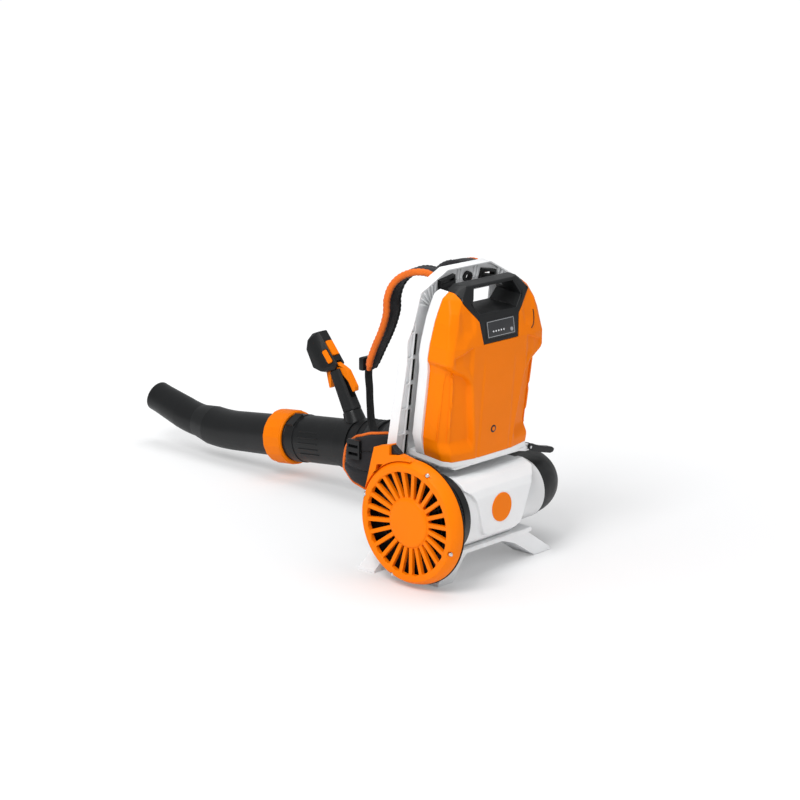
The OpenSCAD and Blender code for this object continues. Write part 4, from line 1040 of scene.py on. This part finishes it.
    def sewn(self, pad, cx, cz, w, h, thick):
        """Presses the sewn channels into the front and keeps the back flat on the plate."""
        p = upright(points_of(pad))
        front = rise(p[:, 1], PAD_BASE + thick * 0.45, PAD_BASE + thick * 0.8)
        tall = h > w
        for line in (-0.5, 0, 0.5) if tall else (0,):
            off = (p[:, 2] - cz - line * h) / CHANNEL_DEPTH
            p[:, 1] -= CHANNEL_DEPTH * front * np.exp(-off ** 2)
        for line in () if tall else (-0.42, 0.42):
            off = (p[:, 0] - cx - line * w) / CHANNEL_DEPTH
            p[:, 1] -= CHANNEL_DEPTH * front * np.exp(-off ** 2)
        p[:, 1] = np.maximum(p[:, 1], PAD_BASE)
        move_points(pad, leaned(p))


# ---------------------------------- loop and hose

# plain length and radius of the hose's ends, and the ribs' foot, height and wall
CUFF = 33.0
CUFF_RADIUS = 59.2
RIB_FOOT = 56.6
RIB_HEIGHT = 4.6
HOSE_WALL = 2.2
# straight stretches at both ends of the hose
STRAIGHT = (0, 37, 74, 110)


class BLOWER_OT_hose(bpy.types.Operator):
    """Ribbed air hose in two halves, and the carry loop"""
    bl_idname = "blower.hose"
    bl_label = "Hose"

    def execute(self, context):
        ribs = context.scene.blower.ribs
        start, end = np.array(HOSE_START), np.array(TUBE_START)
        way = np.array(TUBE_WAY)
        route = [start + (0, s, 0) for s in STRAIGHT] + [end - way * s for s in reversed(STRAIGHT)]
        points, ways, run = along(route, 12 * ribs + 1)
        across, up = frames(points, ways, (1, 0, 0))
        total = run[-1]
        pitch = (total - 2 * CUFF) / ribs
        phase = (run - CUFF) / pitch
        ribbed = (run > CUFF) & (run < total - CUFF)
        crest = 0.5 - 0.5 * np.cos(2 * math.pi * phase)
        radius = np.where(ribbed, RIB_FOOT + RIB_HEIGHT * crest ** 0.7, CUFF_RADIUS)
        rings = round_rings(points, across, up, radius, 72)
        half = len(points) // 2
        # name, rings, a body for each end of the half, and the y where a bend would begin and end; the
        # last four are not used
        halves = (("air_hose_rear", rings[:half + 1], "unit", "hose", 130, 235),
                  ("air_hose_front", rings[half:], "hose", "tube", 345, 470))
        for name, part, a_body, b_body, y0, y1 in halves:
            piece = loft(name, part, cap=False)
            modify(piece, "SOLIDIFY", thickness=HOSE_WALL * MM, offset=-1)
            smooth(piece, 50)
            dress(piece, "hose_rubber")
            y0 * MM
            y1 * MM
            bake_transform(piece)
            if name.endswith("rear"):
                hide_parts("air_hose")
        loop = shell("carry_loop", "webbing", 0)
        return {"FINISHED"}


# ---------------------------------- panels and fittings


def moves(*steps):
    """Matrix of steps in mm, the first outermost: (x, y, z) moves, ("X", degrees) turns."""
    whole = Matrix.Identity(4)
    for step in steps:
        if len(step) == 3:
            whole = whole @ Matrix.Translation(step)
        else:
            whole = whole @ Matrix.Rotation(math.radians(step[1]), 4, step[0])
    return whole


PANEL_FACE = moves(("X", LEAN_DEG), (0, -0.2, 512), ("X", 74.2), (0, 0, 0.9))
PLUG_FACE = moves(("X", LEAN_DEG), (-6, -14.6, 303), ("X", 88))
# the handle: its place along the tube, its foot's height, its lean, and its head's slant and size
HANDLE_ALONG = 30
HANDLE_FOOT = 55
HANDLE_LEAN = 26
HEAD_SLANT = 13.7
HEAD_HALF = 44
HEAD_UP = 176
LAMP_FACE = (
    moves((TUBE_X, 0, 0),
          (0, TUBE_START.y + HANDLE_ALONG * math.cos(DIP), TUBE_START.z - HANDLE_ALONG * math.sin(DIP)),
          ("X", -DIP_DEG), (0, 0, HANDLE_FOOT), ("X", DIP_DEG - HANDLE_LEAN),
          (0, -17 + HEAD_HALF * math.tan(math.radians(HEAD_SLANT)), HEAD_UP), ("X", 90 - HEAD_SLANT))
    @ Matrix.Scale(-1, 4, (1, 0, 0)) @ moves((-13, 0, 0), ("Y", -61), (-10.5, 0, 0.6)))
# gauge panel: half width and half height of its printed frame, and the line's width
PRINT_X, PRINT_Y, PRINT_LINE = 40.5, 15.2, 1.0
LAMP_COUNT = 5


class BLOWER_OT_fittings(bpy.types.Operator):
    """Gauge panel with its frame, lamps and button, lamps of the handle, small fittings, and dark
    strips of painted shade behind the backplate's windows
    """
    bl_idname = "blower.fittings"
    bl_label = "Panels and fittings"

    def execute(self, context):
        seat = self.bar(PANEL_FACE, (0, 0, -8.8), (92, 38, 14.4))
        self.lay([seat], "panel_seat", "black_shell", "battery", 1.2)
        plate = self.bar(PANEL_FACE, (0, 0, -1), (86, 34, 2))
        plate = self.lay([plate], "panel_plate", "dark_panel", "battery", 0.4)
        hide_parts("battery_panel")
        button = self.lamp(PANEL_FACE, (32, -8, 0.35), 4, 1.3)
        body = NODES["gauge_button"]["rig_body"]
        button = self.lay([button], "gauge_button_key", "grey_key", body, 0.3)
        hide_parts("gauge_button")
        bars = [self.bar(PANEL_FACE, (x, y, 0), (w, h, 0.5)) for x, y, w, h in (
            (0, PRINT_Y, 82, PRINT_LINE), (0, -PRINT_Y, 82, PRINT_LINE),
            (-PRINT_X, 0, PRINT_LINE, 31.4), (PRINT_X, 0, PRINT_LINE, 31.4))]
        self.lay(bars, "panel_frame", "pale_print", "battery")
        lamps = [self.lamp(PANEL_FACE, (-24 + 8 * i, -5, 0), 1.8) for i in range(LAMP_COUNT)]
        self.lay(lamps, "panel_lamps", "pale_lamp", "battery")
        lamps = [self.lamp(LAMP_FACE, (0, -11 + 5.5 * i, 0), 1.2) for i in range(LAMP_COUNT)]
        self.lay(lamps, "handle_lamps", "pale_lamp", "handle")
        ring = self.lamp(PLUG_FACE, (0, 0, -1), 8, 3.2)
        self.lay([ring], "plug_ring", "black_shell", "battery", 0.6)
        cap = self.lamp(PLUG_FACE, (0, 0, 0), 4.4, 2.2)
        cap = self.lay([cap], "plug_cap", "orange_shell", "battery", 0.5)
        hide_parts("battery_plug")
        for name, sign in (("left", -1), ("right", 1)):
            # dark strips behind the backplate's windows: painted shade, a sheet that stands for the
            # shaded gap between the battery and the plate
            strip = self.bar(moves(("X", LEAN_DEG)), (sign * 136, 105.3, 366), (36, 1.6, 272))
            self.lay([strip], "window_strip_" + name, "dark_inner", "unit", 0.3)
            lid = self.bar(Matrix.Identity(4), (sign * 98, 211, 410), (36, 13.5, 28))
            self.lay([lid], "adjuster_lid_" + name, "black_shell", "unit", 3.5)
        return {"FINISHED"}

    def bar(self, face, centre, size):
        bpy.ops.mesh.primitive_cube_add(size=1)
        return self.place(face @ Matrix.Translation(centre) @ Matrix.Diagonal((*size, 1)))

    def lamp(self, face, centre, radius, depth=0.6):
        bpy.ops.mesh.primitive_cylinder_add(vertices=24, radius=radius, depth=depth)
        return self.place(face @ Matrix.Translation(centre))

    def place(self, matrix):
        piece = bpy.context.active_object
        piece.data.transform(Matrix.Scale(MM, 4) @ matrix)
        return piece

    def lay(self, pieces, name, finish, body, round_mm=0.0):
        whole = face_out(joined(pieces, name))
        if round_mm:
            modify(whole, "BEVEL", width=round_mm * MM, segments=2)
        smooth(whole)
        dress(whole, finish)
        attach(whole, body)
        return whole


# ---------------------------------- panel and run


STEPS = (BLOWER_OT_stage, BLOWER_OT_shells, BLOWER_OT_battery_cover, BLOWER_OT_harness,
         BLOWER_OT_hose, BLOWER_OT_fittings)


class BLOWER_PT_panel(bpy.types.Panel):
    bl_label = "Backpack leaf blower"
    bl_idname = "BLOWER_PT_panel"
    bl_space_type = "VIEW_3D"
    bl_region_type = "UI"
    bl_category = "Blower"

    def draw(self, context):
        look = context.scene.blower
        for name in ("orange", "white", "black", "ribs"):
            self.layout.prop(look, name)
        for step in STEPS:
            self.layout.operator(step.bl_idname)


CLASSES = (BlowerLook, *STEPS, BLOWER_PT_panel)


def register():
    for c in CLASSES:
        bpy.utils.register_class(c)
    bpy.types.Scene.blower = PointerProperty(type=BlowerLook)


def unregister():
    del bpy.types.Scene.blower
    for c in reversed(CLASSES):
        bpy.utils.unregister_class(c)


def main():
    register()
    make_finishes(bpy.context.scene.blower)
    for step in STEPS:
        group, name = step.bl_idname.split(".")
        result = getattr(getattr(bpy.ops, group), name)()
        if "FINISHED" not in result:
            raise RuntimeError(step.bl_label + " did not finish")


if __name__ == "__main__":
    main()
